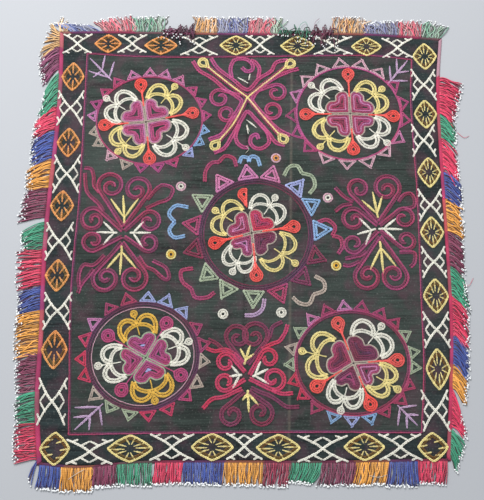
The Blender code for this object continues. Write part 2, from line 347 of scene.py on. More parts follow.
def math_node(tree, operation, first, second):
    """A Math node on two sockets or numbers. Returns its output."""
    node = tree.nodes.new("ShaderNodeMath")
    node.operation = operation
    for slot_number, value in enumerate((first, second)):
        if isinstance(value, (int, float)):
            node.inputs[slot_number].default_value = value
        else:
            link(tree, value, node.inputs[slot_number])
    return node.outputs[0]


def mask_node(tree, value, low, high, most=1.0):
    """A mask that rises from nought to its most while a value goes from low to high."""
    node = tree.nodes.new("ShaderNodeMapRange")
    fill(tree, node, {"Value": value, "From Min": low, "From Max": high, "To Max": most})
    return node.outputs["Result"]


def wave_node(tree, place, direction, values):
    """A Wave texture of bands that lie one way. Returns its grey output."""
    node = tree.nodes.new("ShaderNodeTexWave")
    node.bands_direction = direction
    fill(tree, node, {"Vector": place, **values})
    return node.outputs["Fac"]


def attribute_node(tree, name):
    """A node that reads an attribute of the mesh."""
    node = tree.nodes.new("ShaderNodeAttribute")
    node.attribute_name = name
    return node


def new_group(name, inputs, outputs):
    """A shader node group with the sockets named, each of its kind. Returns its tree and both end nodes."""
    tree = bpy.data.node_groups.new(name, "ShaderNodeTree")
    for way, sockets in (("INPUT", inputs), ("OUTPUT", outputs)):
        for socket, kind in sockets.items():
            tree.interface.new_socket(name=socket, in_out=way, socket_type="NodeSocket" + kind)
    return tree, tree.nodes.new("NodeGroupInput"), tree.nodes.new("NodeGroupOutput")


def use_group(tree, group, values):
    """A node that uses a group, with values or sockets for its inputs. Returns its outputs."""
    node = tree.nodes.new("ShaderNodeGroup")
    node.node_tree = group
    fill(tree, node, values)
    return node.outputs


def surface(tree, shader, colour, height, strength, distance, constants):
    """Join a colour and a height, as a bump, to the shader and set its constants."""
    bump = tree.nodes.new("ShaderNodeBump")
    fill(tree, bump, {"Height": height, "Strength": strength, "Distance": distance})
    fill(tree, shader, {"Base Color": colour, "Normal": bump.outputs["Normal"], **constants})


def make_weave_group():
    """Weave effect: threads both ways as waves of the place on the piece, uneven slubs along X, and slow
    patches. Outputs a grey tone and a height."""
    tree, given, result = new_group(
        "woven cotton", {"Threads": "Float", "Slub": "Float"}, {"Tone": "Float", "Height": "Float"})
    place = object_place(tree)
    warp, weft = (
        wave_node(tree, place, direction, {"Scale": given.outputs["Threads"], **WEAVE_WAVES})
        for direction in ("X", "Y")
    )
    thread = math_node(tree, "MAXIMUM", weft, math_node(tree, "MULTIPLY", warp, WARP_SHARE))
    slub = noise_node(tree, place, 1.0, 4.0, SLUB_STRETCH)
    streak = noise_node(tree, place, 1.0, 2.0, STREAK_STRETCH)
    patch = noise_node(tree, place, WEAVE_PATCHES, 4.0)
    uneven = math_node(tree, "MULTIPLY", math_node(tree, "SUBTRACT", slub, 0.5), given.outputs["Slub"])
    twice = math_node(tree, "MULTIPLY", uneven, 2.0)
    tone = math_node(tree, "ADD", math_node(tree, "ADD", streak, patch), twice)
    height = math_node(tree, "ADD", math_node(tree, "MULTIPLY", thread, 0.5), twice)
    fill(tree, result, {"Tone": math_node(tree, "SUBTRACT", tone, 0.5), "Height": height})
    return tree


def crease_mask(tree, place, x1, y1, x2, y2, half):
    """One along a straight line on the cloth, fading to nought at half its width: the distance from the
    line is a dot product with its normal."""
    length = math.hypot(x2 - x1, y2 - y1)
    normal = ((y2 - y1) / length, -(x2 - x1) / length)
    start = (x1 * MM + DRAWING_ORIGIN[0], y1 * MM + DRAWING_ORIGIN[1])
    dot = tree.nodes.new("ShaderNodeVectorMath")
    dot.operation = "DOT_PRODUCT"
    link(tree, place, dot.inputs[0])
    dot.inputs[1].default_value = (normal[0], normal[1], 0.0)
    offset = math_node(tree, "SUBTRACT", dot.outputs["Value"], start[0] * normal[0] + start[1] * normal[1])
    near = mask_node(tree, math_node(tree, "ABSOLUTE", offset, 0.0), half * MM, 0.0)
    near.node.interpolation_type = "SMOOTHSTEP"
    return near


def make_ground_material():
    """Black-green cotton, rubbed to brown along the fold on the right of the seam, dusty in patches, tinted
    where the silks have bled, with pale lint, and blacker where its "hem" attribute is over nought."""
    material, tree, shader = new_material("ground cotton")
    weave = use_group(tree, make_weave_group(), {"Threads": WEAVE_THREADS, "Slub": WEAVE_SLUB})
    place = object_place(tree)
    base = mix_node(tree, weave["Tone"], COTTON_DARK, COTTON_PALE)
    outside = mask_node(tree, attribute_node(tree, "hem").outputs["Fac"], -1.0, 1.0)
    base = mix_node(tree, outside, base, HEM_TINT, "MULTIPLY")
    for scale, detail, low, high, most, colour in PATCHES:
        patch = mask_node(tree, noise_node(tree, place, scale, detail), low, high, most)
        base = mix_node(tree, patch, base, colour)
    rub = crease_mask(tree, place, *RIDGES[0][:4], RUB_HALF)
    grain = math_node(tree, "MULTIPLY", noise_node(tree, place, RUB_GRAIN), RUB_MOST)
    base = mix_node(tree, math_node(tree, "MULTIPLY", rub, grain), base, RUB_COLOUR)
    surface(tree, shader, base, weave["Height"], 0.55, 0.0006, {
        "Roughness": 0.9, "Specular IOR Level": 0.12, "Sheen Weight": 0.04, "Sheen Roughness": 0.5,
    })
    return material


def make_panel(name, first, last, edge_gaps, material):
    """One panel as a grid: columns are shares of the width that follow the seam's bow, rows are shares of
    the height, and the height comes from the ridges."""
    columns = int(round((last - first) * PANEL_SPAN[0] / PANEL_CELL))
    rows = int(round(PANEL_SPAN[1] / PANEL_CELL))
    column = np.linspace(first, last, columns + 1)
    down = np.linspace(0.0, 1.0, rows + 1)
    near_seam = 1.0 - np.abs(column - SEAM_SHARE) / np.abs(column - SEAM_SHARE).max()
    across = column[None, :] + SEAM_BOW * np.sin(math.pi * down)[:, None] * near_seam[None, :]
    down = np.repeat(down, columns + 1)
    places = cloth_places(across.ravel(), down)
    places[:, 0] += np.tile(np.linspace(*edge_gaps, columns + 1), rows + 1)
    x, y = places[:, 0], places[:, 1]
    points = to_frame(x, y, cloth_height(x, y))
    panel = quads_mesh(name, points, grid_quads(rows + 1, columns + 1), material)
    hem = panel.data.attributes.new("hem", "FLOAT", "POINT")
    hem.data.foreach_set("value", past_field(x, y).astype(np.float32))
    thick = panel.modifiers.new("cloth", "SOLIDIFY")
    thick.thickness = CLOTH_TOP * MM
    thick.offset = -1.0
    return panel


ground_material = make_ground_material()
ground_left = make_panel("ground_left", 0.0, SEAM_SHARE, (0.0, -0.5 * PIECE_GAP), ground_material)
ground_right = make_panel("ground_right", SEAM_SHARE, 1.0, (0.5 * PIECE_GAP, 0.0), ground_material)
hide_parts("panel_left")
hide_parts("panel_right")
for panel in (ground_left, ground_right):
    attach(panel, "root")


# Stitching
# All the pattern is worked in rows of silk chain stitch: each stitch is a loop of floss about 4 mm long
# that starts inside the one before it. A row is kept as its path, dye, width, lift and how narrow its
# ends are, and the rows of one motif are put together as one mesh.

LOOP_PITCH = 3.6
LOOP_REACH = 1.5
ROW_WIDE = 3.2
ROW_GAP = 0.94
YARN_SHARE = 0.47
YARN_HIGH = 0.9
LOOP_POINTS = 6
LOOP_SIDES = 3
LOOP_OPEN_LIFT = 0.3
LOOP_SINK = 0.05
LOOP_UNEVEN = (0.93, 1.07)
LOOP_TONE = (0.90, 1.12)
LOOP_WANDER = 0.10
LOOP_PINCH = 0.2
LOOP_UV_SPREAD = 40.0
PATH_STEP = 1.2
OUTLINE_STEP = 0.7
# Silk: scale and share of the dull patches and their colour; scale of the dye baths, where their mask
# starts and is full, and their two tints; the fibres' stretch, and their painted shade's share and colour
SILK_PATCHES = (26.0, 0.14)
SILK_DULL = (0.26, 0.23, 0.21, 1.0)
SILK_BATH = (19.0, 0.38, 0.62)
SILK_BATHS = ((1.10, 0.84, 0.80, 1.0), (0.98, 1.08, 1.20, 1.0))
SILK_DEPTH = 1.8
SILK_FIBRE = (1.5, 16.0, 1.0)
SILK_FIBRE_SHADE = 0.16
SILK_SHADOW = (0.02, 0.015, 0.015, 1.0)
DYES = {
    "magenta": "#b84d7a",
    "orchid": "#c8588f",
    "wine": "#8d3c5e",
    "plum": "#6d3a5c",
    "pink": "#dc8fbd",
    "pale pink": "#ecc0ce",
    "lavender": "#cdafd0",
    "rose": "#d8476f",
    "scarlet": "#ff6a60",
    "yellow": "#fbeaa0",
    "gold": "#f0c350",
    "orange": "#f2ab62",
    "ochre": "#6a4e12",
    "white": "#f8f5e8",
    "bone": "#cdbdb0",
    "sky blue": "#9cc2ea",
    "lilac blue": "#b6c0ee",
    "grey green": "#b9c6aa",
    "black": "#1c1d1f",
}


def linear(code):
    """A colour code's red, green and blue as linear light."""
    part = np.array([int(code[i:i + 2], 16) for i in (1, 3, 5)]) / 255.0
    return np.where(part <= 0.04045, part / 12.92, ((part + 0.055) / 1.055) ** 2.4)


def unit(steps):
    """Vectors scaled to a length of one."""
    return steps / np.maximum(np.linalg.norm(steps, axis=-1), 1e-6)[..., None]


def left_of(run):
    """Directions turned a quarter to the left."""
    return np.stack([-run[:, 1], run[:, 0]], axis=1)


def path_length(path):
    """The length of a path, as the sum of its steps."""
    return np.linalg.norm(np.diff(path, axis=0), axis=1).sum()


def evenly(path, count):
    """Places at count even steps along a path, with the directions there and the step."""
    steps = np.linalg.norm(np.diff(path, axis=0), axis=1)
    reach = np.concatenate([[0.0], np.cumsum(steps)])
    at = (np.arange(count) + 0.5) / count * reach[-1]
    near = min(0.6, 0.4 * reach[-1])
    spot, ahead, behind = (
        np.stack([np.interp(at + step, reach, path[:, i]) for i in range(2)], axis=1)
        for step in (0.0, near, -near)
    )
    return spot, unit(ahead - behind), reach[-1] / count


def thread_place(tree):
    """The place along a thread and round it, from its UV map."""
    node = tree.nodes.new("ShaderNodeUVMap")
    node.uv_map = "thread"
    return node.outputs["UV"]


def make_silk_material():
    """Floss silk: the stitch's own dye, dulled in patches, the deep ones dyed a little unevenly, with
    fine fibres along the loop's yarn, darkened along them as painted shade. A dye is deep as far as its green
    is low."""
    material, tree, shader = new_material("silk floss")
    dye = attribute_node(tree, "dye").outputs["Color"]
    place = object_place(tree)
    patch = math_node(tree, "MULTIPLY", noise_node(tree, place, SILK_PATCHES[0]), SILK_PATCHES[1])
    dull = mix_node(tree, patch, dye, SILK_DULL)
    bath = mask_node(tree, noise_node(tree, place, SILK_BATH[0], 2.0), *SILK_BATH[1:])
    tint = mix_node(tree, bath, *SILK_BATHS)
    parts = tree.nodes.new("ShaderNodeSeparateColor")
    link(tree, dye, parts.inputs["Color"])
    green = math_node(tree, "MULTIPLY", parts.outputs["Green"], SILK_DEPTH)
    deep = math_node(tree, "MAXIMUM", math_node(tree, "SUBTRACT", 1.0, green), 0.0)
    dull = mix_node(tree, deep, dull, tint, "MULTIPLY")
    fibre = noise_node(tree, thread_place(tree), 1.0, 2.0, SILK_FIBRE)
    # Painted shade: the fibre noise darkens the dye toward near black, standing in for shade between the
    # fibres.
    shade = mix_node(tree, math_node(tree, "MULTIPLY", fibre, SILK_FIBRE_SHADE), dull, SILK_SHADOW)
    surface(tree, shader, shade, fibre, 0.4, 0.0002, {
        "Roughness": 0.5, "Specular IOR Level": 0.25, "Sheen Weight": 0.06,
    })
    return material


silk_material = make_silk_material()


def row(path, dye, wide=ROW_WIDE, lift=0.0, ends=1.0):
    """One row of chain stitch, as stitch() reads it."""
    return np.asarray(path, dtype=float), dye, wide, lift, ends


def stitch(name, rows, seed):
    """One mesh of chain stitch. Each stitch is a closed loop of yarn round a pointed oval: the centre line
    goes round as (-cos, sin), pinched at its start, and a three-sided section is carried along it."""
    chance = np.random.default_rng(seed)
    columns = []
    for path, dye, wide, lift, ends in rows:
        count = max(1, int(round(path_length(path) / LOOP_PITCH)))
        spot, run, step = evenly(path, count)
        middle = 1.0 - np.abs((np.arange(count) + 0.5) / count * 2.0 - 1.0) ** 2
        width = wide * (ends + (1.0 - ends) * middle)
        same = np.ones((count, 1))
        columns.append(np.hstack([
            spot, run, same * step, width[:, None], same * lift, same * linear(DYES[dye]),
        ]))
    table = np.concatenate(columns)
    total = len(table)
    spot, run = table[:, 0:2], table[:, 2:4]
    aside = left_of(run)
    length = table[:, 4] * LOOP_REACH * chance.uniform(*LOOP_UNEVEN, total)
    wide = table[:, 5] * chance.uniform(*LOOP_UNEVEN, total)
    dye = table[:, 7:10] * chance.uniform(*LOOP_TONE, (total, 1))
    spot = spot + aside * chance.normal(0.0, LOOP_WANDER, (total, 1))

    turn = 2.0 * math.pi * np.arange(LOOP_POINTS) / LOOP_POINTS
    open_end = 0.5 - 0.5 * np.cos(turn)
    yarn = wide * YARN_SHARE
    out = np.array([0.5, 0.0, -0.5])[None, None, :] * yarn[:, None, None]
    up = np.array([0.0, 1.0, 0.0])[None, None, :] * yarn[:, None, None] * YARN_HIGH
    along = -np.cos(turn)[None, :, None] * (0.5 * (length - yarn)[:, None, None] + out)
    pinch = (1.0 - LOOP_PINCH + LOOP_PINCH * open_end)[None, :, None]
    sideways = np.sin(turn)[None, :, None] * (0.5 * pinch * (wide - yarn)[:, None, None] + out)
    x = spot[:, 0, None, None] + run[:, 0, None, None] * along + aside[:, 0, None, None] * sideways
    y = spot[:, 1, None, None] + run[:, 1, None, None] * along + aside[:, 1, None, None] * sideways
    lift = LOOP_OPEN_LIFT * open_end[None, :, None] + table[:, 6, None, None]
    z = cloth_height(x, y) + up + lift - LOOP_SINK
    points = to_frame(x, y, z).reshape(-1, 3)

    quads, one_uv = loop_faces()
    per_loop = LOOP_POINTS * LOOP_SIDES
    quads = (quads[None, :, :] + (np.arange(total) * per_loop)[:, None, None]).reshape(-1, 4)
    corners = (one_uv[None] + chance.uniform(0.0, LOOP_UV_SPREAD, (total, 1, 1, 2))).reshape(-1, 2)
    piece = quads_mesh(name, points, quads, silk_material, np.repeat(dye, per_loop, axis=0), corners)
    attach(piece, "root")


def loop_faces():
    """Quads and their UV places for one loop: a ring of sections, each joined to the next all round."""
    ring = np.arange(LOOP_POINTS)[:, None]
    side = np.arange(LOOP_SIDES)[None, :]
    next_ring = (ring + 1) % LOOP_POINTS
    next_side = (side + 1) % LOOP_SIDES
    corners = [(ring, side), (next_ring, side), (next_ring, next_side), (ring, next_side)]
    quads = np.stack([(a * LOOP_SIDES + b).ravel() for a, b in corners], axis=1)
    u = (ring + 0 * side).ravel()[:, None] + np.array([0, 1, 1, 0])[None, :]
    v = (side + 0 * ring).ravel()[:, None] + np.array([0, 0, 1, 1])[None, :]
    return quads, np.stack([u / LOOP_POINTS, v / LOOP_SIDES], axis=-1)


def bend(*points):
    """A smooth path through the points given."""
    points = np.array(points, dtype=float)
    return curve_through(points, np.linspace(0.0, 1.0, max(4, int(path_length(points) / PATH_STEP))))


def straight(*points):
    """A path with sharp corners at the points given, and more points between them."""
    points = np.array(points, dtype=float)
    parts = []
    for start, end in zip(points[:-1], points[1:]):
        count = max(2, int(np.linalg.norm(end - start) / PATH_STEP))
        parts.append(start + np.linspace(0.0, 1.0, count, endpoint=False)[:, None] * (end - start))
    return np.vstack(parts + [points[-1:]])


def ring_path(centre, across, up):
    """A closed ellipse: cosine and sine of a full turn."""
    angle = np.linspace(0.0, 2.0 * math.pi, max(12, int(5.0 * across)))
    return np.stack([centre[0] + across * np.cos(angle), centre[1] + up * np.sin(angle)], axis=1)


def beside(path, shift):
    """The path moved to its left by a shift, along its normals."""
    return path + shift * left_of(unit(np.gradient(path, axis=0)))


def within(path, shift):
    """A closed path moved inward by a shift along its normals. Points that then lie nearer to the old path
    than the shift are left out, which keeps corners clean."""
    if abs(shift) < 0.05:
        return path
    loop = evenly(path, max(16, int(path_length(path) / OUTLINE_STEP)))[0]
    run = unit(np.roll(loop, -1, axis=0) - np.roll(loop, 1, axis=0))
    area = np.sum(loop[:, 0] * np.roll(loop[:, 1], -1) - loop[:, 1] * np.roll(loop[:, 0], -1))
    moved = loop + shift * math.copysign(1.0, area) * left_of(run)
    far = np.linalg.norm(moved[:, None, :] - loop[None, :, :], axis=2).min(axis=1)
    kept = moved[far > 0.96 * abs(shift) - 0.1]
    if len(kept) < 4:
        return None
    return np.vstack([kept, kept[:1]])


def placed(local, origin, angle):
    """Local places, X along the angle, turned and moved to an origin."""
    c, s = math.cos(angle), math.sin(angle)
    local = np.asarray(local, dtype=float)
    x = origin[0] + c * local[:, 0] - s * local[:, 1]
    return np.stack([x, origin[1] + s * local[:, 0] + c * local[:, 1]], axis=1)


def side_by_side(rows, path, dyes, wide=ROW_WIDE, lift=0.0):
    """Add one row for each dye, side by side about the path."""
    for i, dye in enumerate(dyes):
        rows.append(row(beside(path, (i - 0.5 * (len(dyes) - 1)) * wide * ROW_GAP), dye, wide, lift))


def filled_in(rows, path, dyes, wide=ROW_WIDE, inset=0.0, lift=0.0):
    """Add one row for each dye, each one inside the last, from a closed outline inward."""
    for i, dye in enumerate(dyes):
        inner = within(path, inset + (0.5 + i * ROW_GAP) * wide)
        if inner is not None:
            rows.append(row(inner, dye, wide, lift))


def spindle(rows, start, end, dye, wide=3.4, lift=0.15):
    """Add a short row that is pointed at both ends."""
    rows.append(row(straight(start, end), dye, wide, lift, 0.35))


# Border
# Lozenges and lattice crosses take turns round the cover, in white, yellow and orange silk, between
# the heading and the line round the field. A lozenge's outline bulges as |a|^p + |c|^p = 1.

LOZENGE_BULGE = 1.28
# Along each side: x, y, half length along the border, half width across it, kind
LOZENGES = {
    "left": [
        (-250, 264, 24, 17.5, "orange"), (-251, 160, 23.5, 17.5, "orange"), (-255, 64, 24, 17.5, "orange"),
        (-256, -37, 24, 17.5, "orange"), (-254, -140, 27.5, 18.5, "orange"), (-246, -270, 22.5, 21, "corner"),
    ],
    "top": [
        (-200, 318, 21, 16, "orange"), (-121, 315, 25.5, 16, "orange"), (-9, 315, 25, 17, "yellow"),
        (83, 314, 26.5, 17.5, "yellow"), (186, 313, 23.5, 16, "yellow"),
    ],
    "right": [
        (272, 297, 22.5, 18.5, "yellow"), (268, 204, 23.5, 17.5, "yellow"), (268, 114, 24, 17.5, "yellow"),
        (267, 25, 24, 17.5, "yellow"), (267, -66, 25.5, 18.5, "yellow"), (264, -166, 29, 17.5, "yellow"),
        (251, -268, 20, 21, "corner"),
    ],
    "bottom": [
        (-147, -270, 31, 18.5, "yellow"), (-39, -268, 29, 18.5, "yellow"), (48, -269, 30, 18.5, "yellow"),
        (161, -268, 28, 18.5, "yellow"),
    ],
}
# Along each side: x, y, half length along the border, half width across it
CROSSES = {
    "left": [
        (-251, 214, 27.5, 18.5), (-251, 112, 29, 18.5), (-256, 12, 27.5, 18.5), (-253, -87, 26, 18.5),
        (-253, -209, 31, 18.5),
    ],
    "top": [
        (-246, 318, 21.5, 15.5), (-164, 318, 21.5, 14.5), (-64, 315, 28, 15.5), (27, 316, 21.5, 15.5),
        (136, 315, 29, 14.5), (232, 311, 22.5, 15.5),
    ],
    "right": [
        (268, 251, 25, 17.5), (263, 163, 25, 16.5), (267, 65, 24, 16.5), (267, -18, 22.5, 16.5),
        (265, -113, 25, 17.5), (257, -221, 27, 17.5),
    ],
    "bottom": [
        (-200, -274, 30.5, 15.5), (-92, -268, 29, 16.5), (3, -267, 23.5, 16.5), (106, -270, 33, 16.5),
        (208, -268, 28, 16.5),
    ],
}
BORDER_RUN = {"left": math.pi / 2, "top": 0.0, "right": math.pi / 2, "bottom": 0.0}
# Each kind of lozenge: its dye, its bars' width, and where each bar starts on the outline and where it
# ends, as angles in degrees and shares
LOZENGE_BARS = {
    "orange": ("orange", 3.7, [
        (3, 0.95, 8, 0.24), (44, 0.95, 54, 0.24), (90, 0.95, 92, 0.62), (134, 0.95, 124, 0.24),
        (184, 0.95, 188, 0.24), (226, 0.95, 236, 0.24), (270, 0.95, 272, 0.62), (314, 0.95, 304, 0.24),
    ]),
    "yellow": ("yellow", 2.7, [
        (10, 0.96, 18, 0.26), (36, 0.94, 46, 0.28), (66, 0.94, 72, 0.32), (114, 0.94, 104, 0.30),
        (146, 0.94, 136, 0.28), (190, 0.96, 198, 0.26), (216, 0.94, 226, 0.28), (246, 0.94, 252, 0.32),
        (294, 0.94, 284, 0.30), (326, 0.94, 316, 0.28),
    ]),
    "corner": ("yellow", 3.4, [
        (51, 0.92, 24, 0.60), (88, 0.94, 63, 0.42), (128, 0.91, 152, 0.39),
        (229, 0.91, 201, 0.58), (268, 0.94, 246, 0.40), (311, 0.91, 334, 0.36),
    ]),
}
LOZENGE_WIDE = 3.8
# The brown row inside a lozenge: its width, how far inside the outline, its lift
LOZENGE_LINING = (4.4, 3.4, -0.35)
# An arm of a cross: its width, lift and how narrow its ends are. Its barbs: where each leaves the arm, and
# its length, as shares of the arm; its width
CROSS_BOW = 0.10
CROSS_ARM = (4.3, 0.15, 0.8)
CROSS_BARBS = [(0.44, 0.42, 3.5), (0.80, 0.28, 3.7)]
# The two rows of the line round the field: dye, how far outside the line, width, lift
FIELD_ROWS = [("magenta", 0.0, 2.0, 0.1), ("plum", 1.9, 1.7, 0.0)]


def lozenge_edge(angle, half_long, half_wide):
    """Places on a lozenge's outline at angles: cosine and sine raised to the power that gives its bulge."""
    power = 2.0 / LOZENGE_BULGE
    along = half_long * np.sign(np.cos(angle)) * np.abs(np.cos(angle)) ** power
    wide = half_wide * np.sign(np.sin(angle)) * np.abs(np.sin(angle)) ** power
    return np.stack([along, wide], axis=-1)


def lozenge(rows, spot, half_long, half_wide, angle, kind):
    """An outline of one stout row, a dark brown row inside it, and pointed bars round a star of
    bare ground."""
    dye, wide, bars = LOZENGE_BARS[kind]
    edge = placed(lozenge_edge(np.linspace(0.0, 2.0 * math.pi, 97), half_long, half_wide), spot, angle)
    filled_in(rows, edge, (dye,), LOZENGE_WIDE)
    filled_in(rows, edge, ("ochre",), *LOZENGE_LINING)
    for start_way, start, end_way, end in bars:
        foot = start * lozenge_edge(math.radians(start_way), half_long, half_wide)
        tip = end * lozenge_edge(math.radians(end_way), half_long, half_wide)
        foot, tip = placed([foot, tip], spot, angle)
        spindle(rows, foot, tip, dye, wide, 0.1)


def lattice_cross(rows, spot, half_long, half_wide, angle):
    """Two bowed arms that cross, with barbs parallel to the other arm, which make a lattice at each edge
    of the border."""
    t = np.linspace(-1.0, 1.0, 41)
    for slope in (-1.0, 1.0):
        bow = CROSS_BOW * half_long * np.sin(math.pi * t)
        local = np.stack([half_long * t - bow, slope * half_wide * t], axis=1)
        rows.append(row(placed(local, spot, angle), "white", *CROSS_ARM))
    for edge in (-1.0, 1.0):
        for hand in (-1.0, 1.0):
            for share, reach, wide in CROSS_BARBS:
                foot = np.array([hand * half_long * share, edge * half_wide * share])
                tip = foot + reach * np.array([-hand * half_long, edge * half_wide])
                tip[1] = np.clip(tip[1], -half_wide, half_wide)
                foot, tip = placed([foot, tip], spot, angle)
                rows.append(row(straight(foot, tip), "white", wide, 0.05, 0.7))


for seed, side in enumerate(("left", "top", "right", "bottom")):
    rows = []
    for x, y, half_long, half_wide, kind in LOZENGES[side]:
        lozenge(rows, (x, y), half_long, half_wide, BORDER_RUN[side], kind)
    for x, y, half_long, half_wide in CROSSES[side]:
        lattice_cross(rows, (x, y), half_long, half_wide, BORDER_RUN[side])
    stitch("border_" + side, rows, 10 + seed)

rows = []
for side in FIELD_LINE:
    for dye, shift, wide, lift in FIELD_ROWS:
        rows.append(row(beside(bend(*FIELD_LINE[side]), shift), dye, wide, lift))
stitch("field_line", rows, 20)


# Medallions
# Five wheels: a ring with a collar of hollow triangles, four hearts round a cross in the middle, a
# filled drop on a stem between each two hearts, and four pairs of crescents that carry a ball.

# Half a heart, from its point to its notch: share of the half angle, share of the length
HEART = [
    (1.0, 0.02), (1.0, 0.34), (1.0, 0.62), (0.95, 0.82), (0.78, 0.96), (0.50, 1.0), (0.22, 0.94), (0.0, 0.80),
]
HEART_EDGE = 2.6
# The rows that fill a heart: their width, and how far inside the outline they begin
HEART_FILLING = (2.9, 2.1)
# One crescent's two lines, from node to tip and back: out and aside, as shares of the ball's distance
CRESCENT = {
    "out": [(0.75, 0.02), (0.86, 0.10), (0.90, 0.23), (0.84, 0.35), (0.71, 0.40), (0.57, 0.38), (0.46, 0.33)],
    "back": [(0.46, 0.33), (0.59, 0.30), (0.68, 0.22), (0.73, 0.12), (0.75, 0.02)],
}
CRESCENT_WIDER = {"out": 1.22, "back": 1.0}
CRESCENT_FOOT = 62.0
BALL_RADIUS = 5.6
# A ball's rows: their width, where its stem begins as a share of the way, the stem's width, its point
BALL_ROWS = (2.8, 0.52, 2.1, 1.4)
DROP_RADIUS = 9.8
DROP_WIDE = 2.8
FILLED_LIFT = 0.45
COLLAR_GAP = -0.04
# The middle wheel's upper drop, which is cut off where the other panel begins
CUT_DROP = (3, 81)
# The seam between the panels: heights down it, and where it lies there
SEAM_LINE = ([-288.0, -160.0, -95.0, 149.0, 334.0], [-0.3, 0.5, 5.1, 7.1, 11.3])


def heart_path(middle, way, half_angle, length):
    """Polar outline in the wedge about a direction: out along one side, round a lobe, in to the notch and
    back by the other lobe."""
    share, reach = np.array(HEART).T
    halves = []
    for hand in (1.0, -1.0):
        angle = hand * share * half_angle
        halves.append(bend(*(length * reach[:, None] * np.stack([np.cos(angle), np.sin(angle)], axis=1))))
    local = np.vstack([halves[0], halves[1][::-1][1:]])
    return placed(np.vstack([local, local[:1]]), middle, way)


def drop_path(centre, angle, radius, point=2.0):
    """A circle drawn out to a point that faces back along the angle, to so many radii."""
    turn = np.linspace(0.0, 2.0 * math.pi, 61)
    back = np.clip(-np.cos(turn), 0.0, 1.0) ** 8
    along = radius * (np.cos(turn) - (point - 1.0) * back)
    aside = radius * np.sin(turn) * (1.0 - 0.3 * back)
    return placed(np.stack([along, aside], axis=1), centre, angle)


def stem_and_ball(rows, middle, ball, radius, dyes, wide, stem_from, stem_wide, point):
    """A stem from near the middle to a ball or drop of rows worked one inside another."""
    arm = np.array(ball, dtype=float) - middle
    away = np.linalg.norm(arm)
    angle = math.atan2(arm[1], arm[0])
    filled_in(rows, drop_path(ball, angle, radius, point), dyes, wide, lift=FILLED_LIFT)
    stem = straight(middle + arm * stem_from, middle + arm * (1.0 - 0.9 * radius / away))
    rows.append(row(stem, dyes[0], stem_wide, FILLED_LIFT))
    return angle


def crescents(rows, middle, ball, dye, wide, half_angle):
    """A ball on a thin stem with a crescent bent back on each side of it, wider where the wedge is wider."""
    angle = stem_and_ball(rows, middle, ball, BALL_RADIUS, (dye, dye), *BALL_ROWS)
    away = 0.5 * (np.linalg.norm(np.array(ball) - middle) + CRESCENT_FOOT)
    for hand in (-1.0, 1.0):
        spread = np.array([away, hand * away * half_angle / math.radians(45.0)])
        for line, wider in CRESCENT_WIDER.items():
            path = placed(bend(*(np.array(CRESCENT[line]) * spread)), middle, angle)
            side_by_side(rows, path, (dye, dye), wide * wider)


def collar(rows, centre, across, up, start, teeth, deep, wide, chance):
    """Hollow triangles round an ellipse, clockwise, each of two rows, its base on the ring and its point
    outward."""
    step = 2.0 * math.pi / len(teeth)
    for i, dye in enumerate(teeth):
        middle = start - i * step + chance.normal(0.0, 0.02)
        half = 0.5 * step * (1.0 - COLLAR_GAP)
        tall = deep * chance.uniform(0.92, 1.1)
        left, point, right = (
            (centre[0] + (across + out) * math.cos(angle), centre[1] + (up + out) * math.sin(angle))
            for angle, out in ((middle + half, 0.0), (middle, tall), (middle - half, 0.0))
        )
        filled_in(rows, straight(left, point, right, left), (dye, dye), wide)


def seam_at(y):
    """Where the seam between the panels lies, read from five places down it."""
    return np.interp(y, *SEAM_LINE)


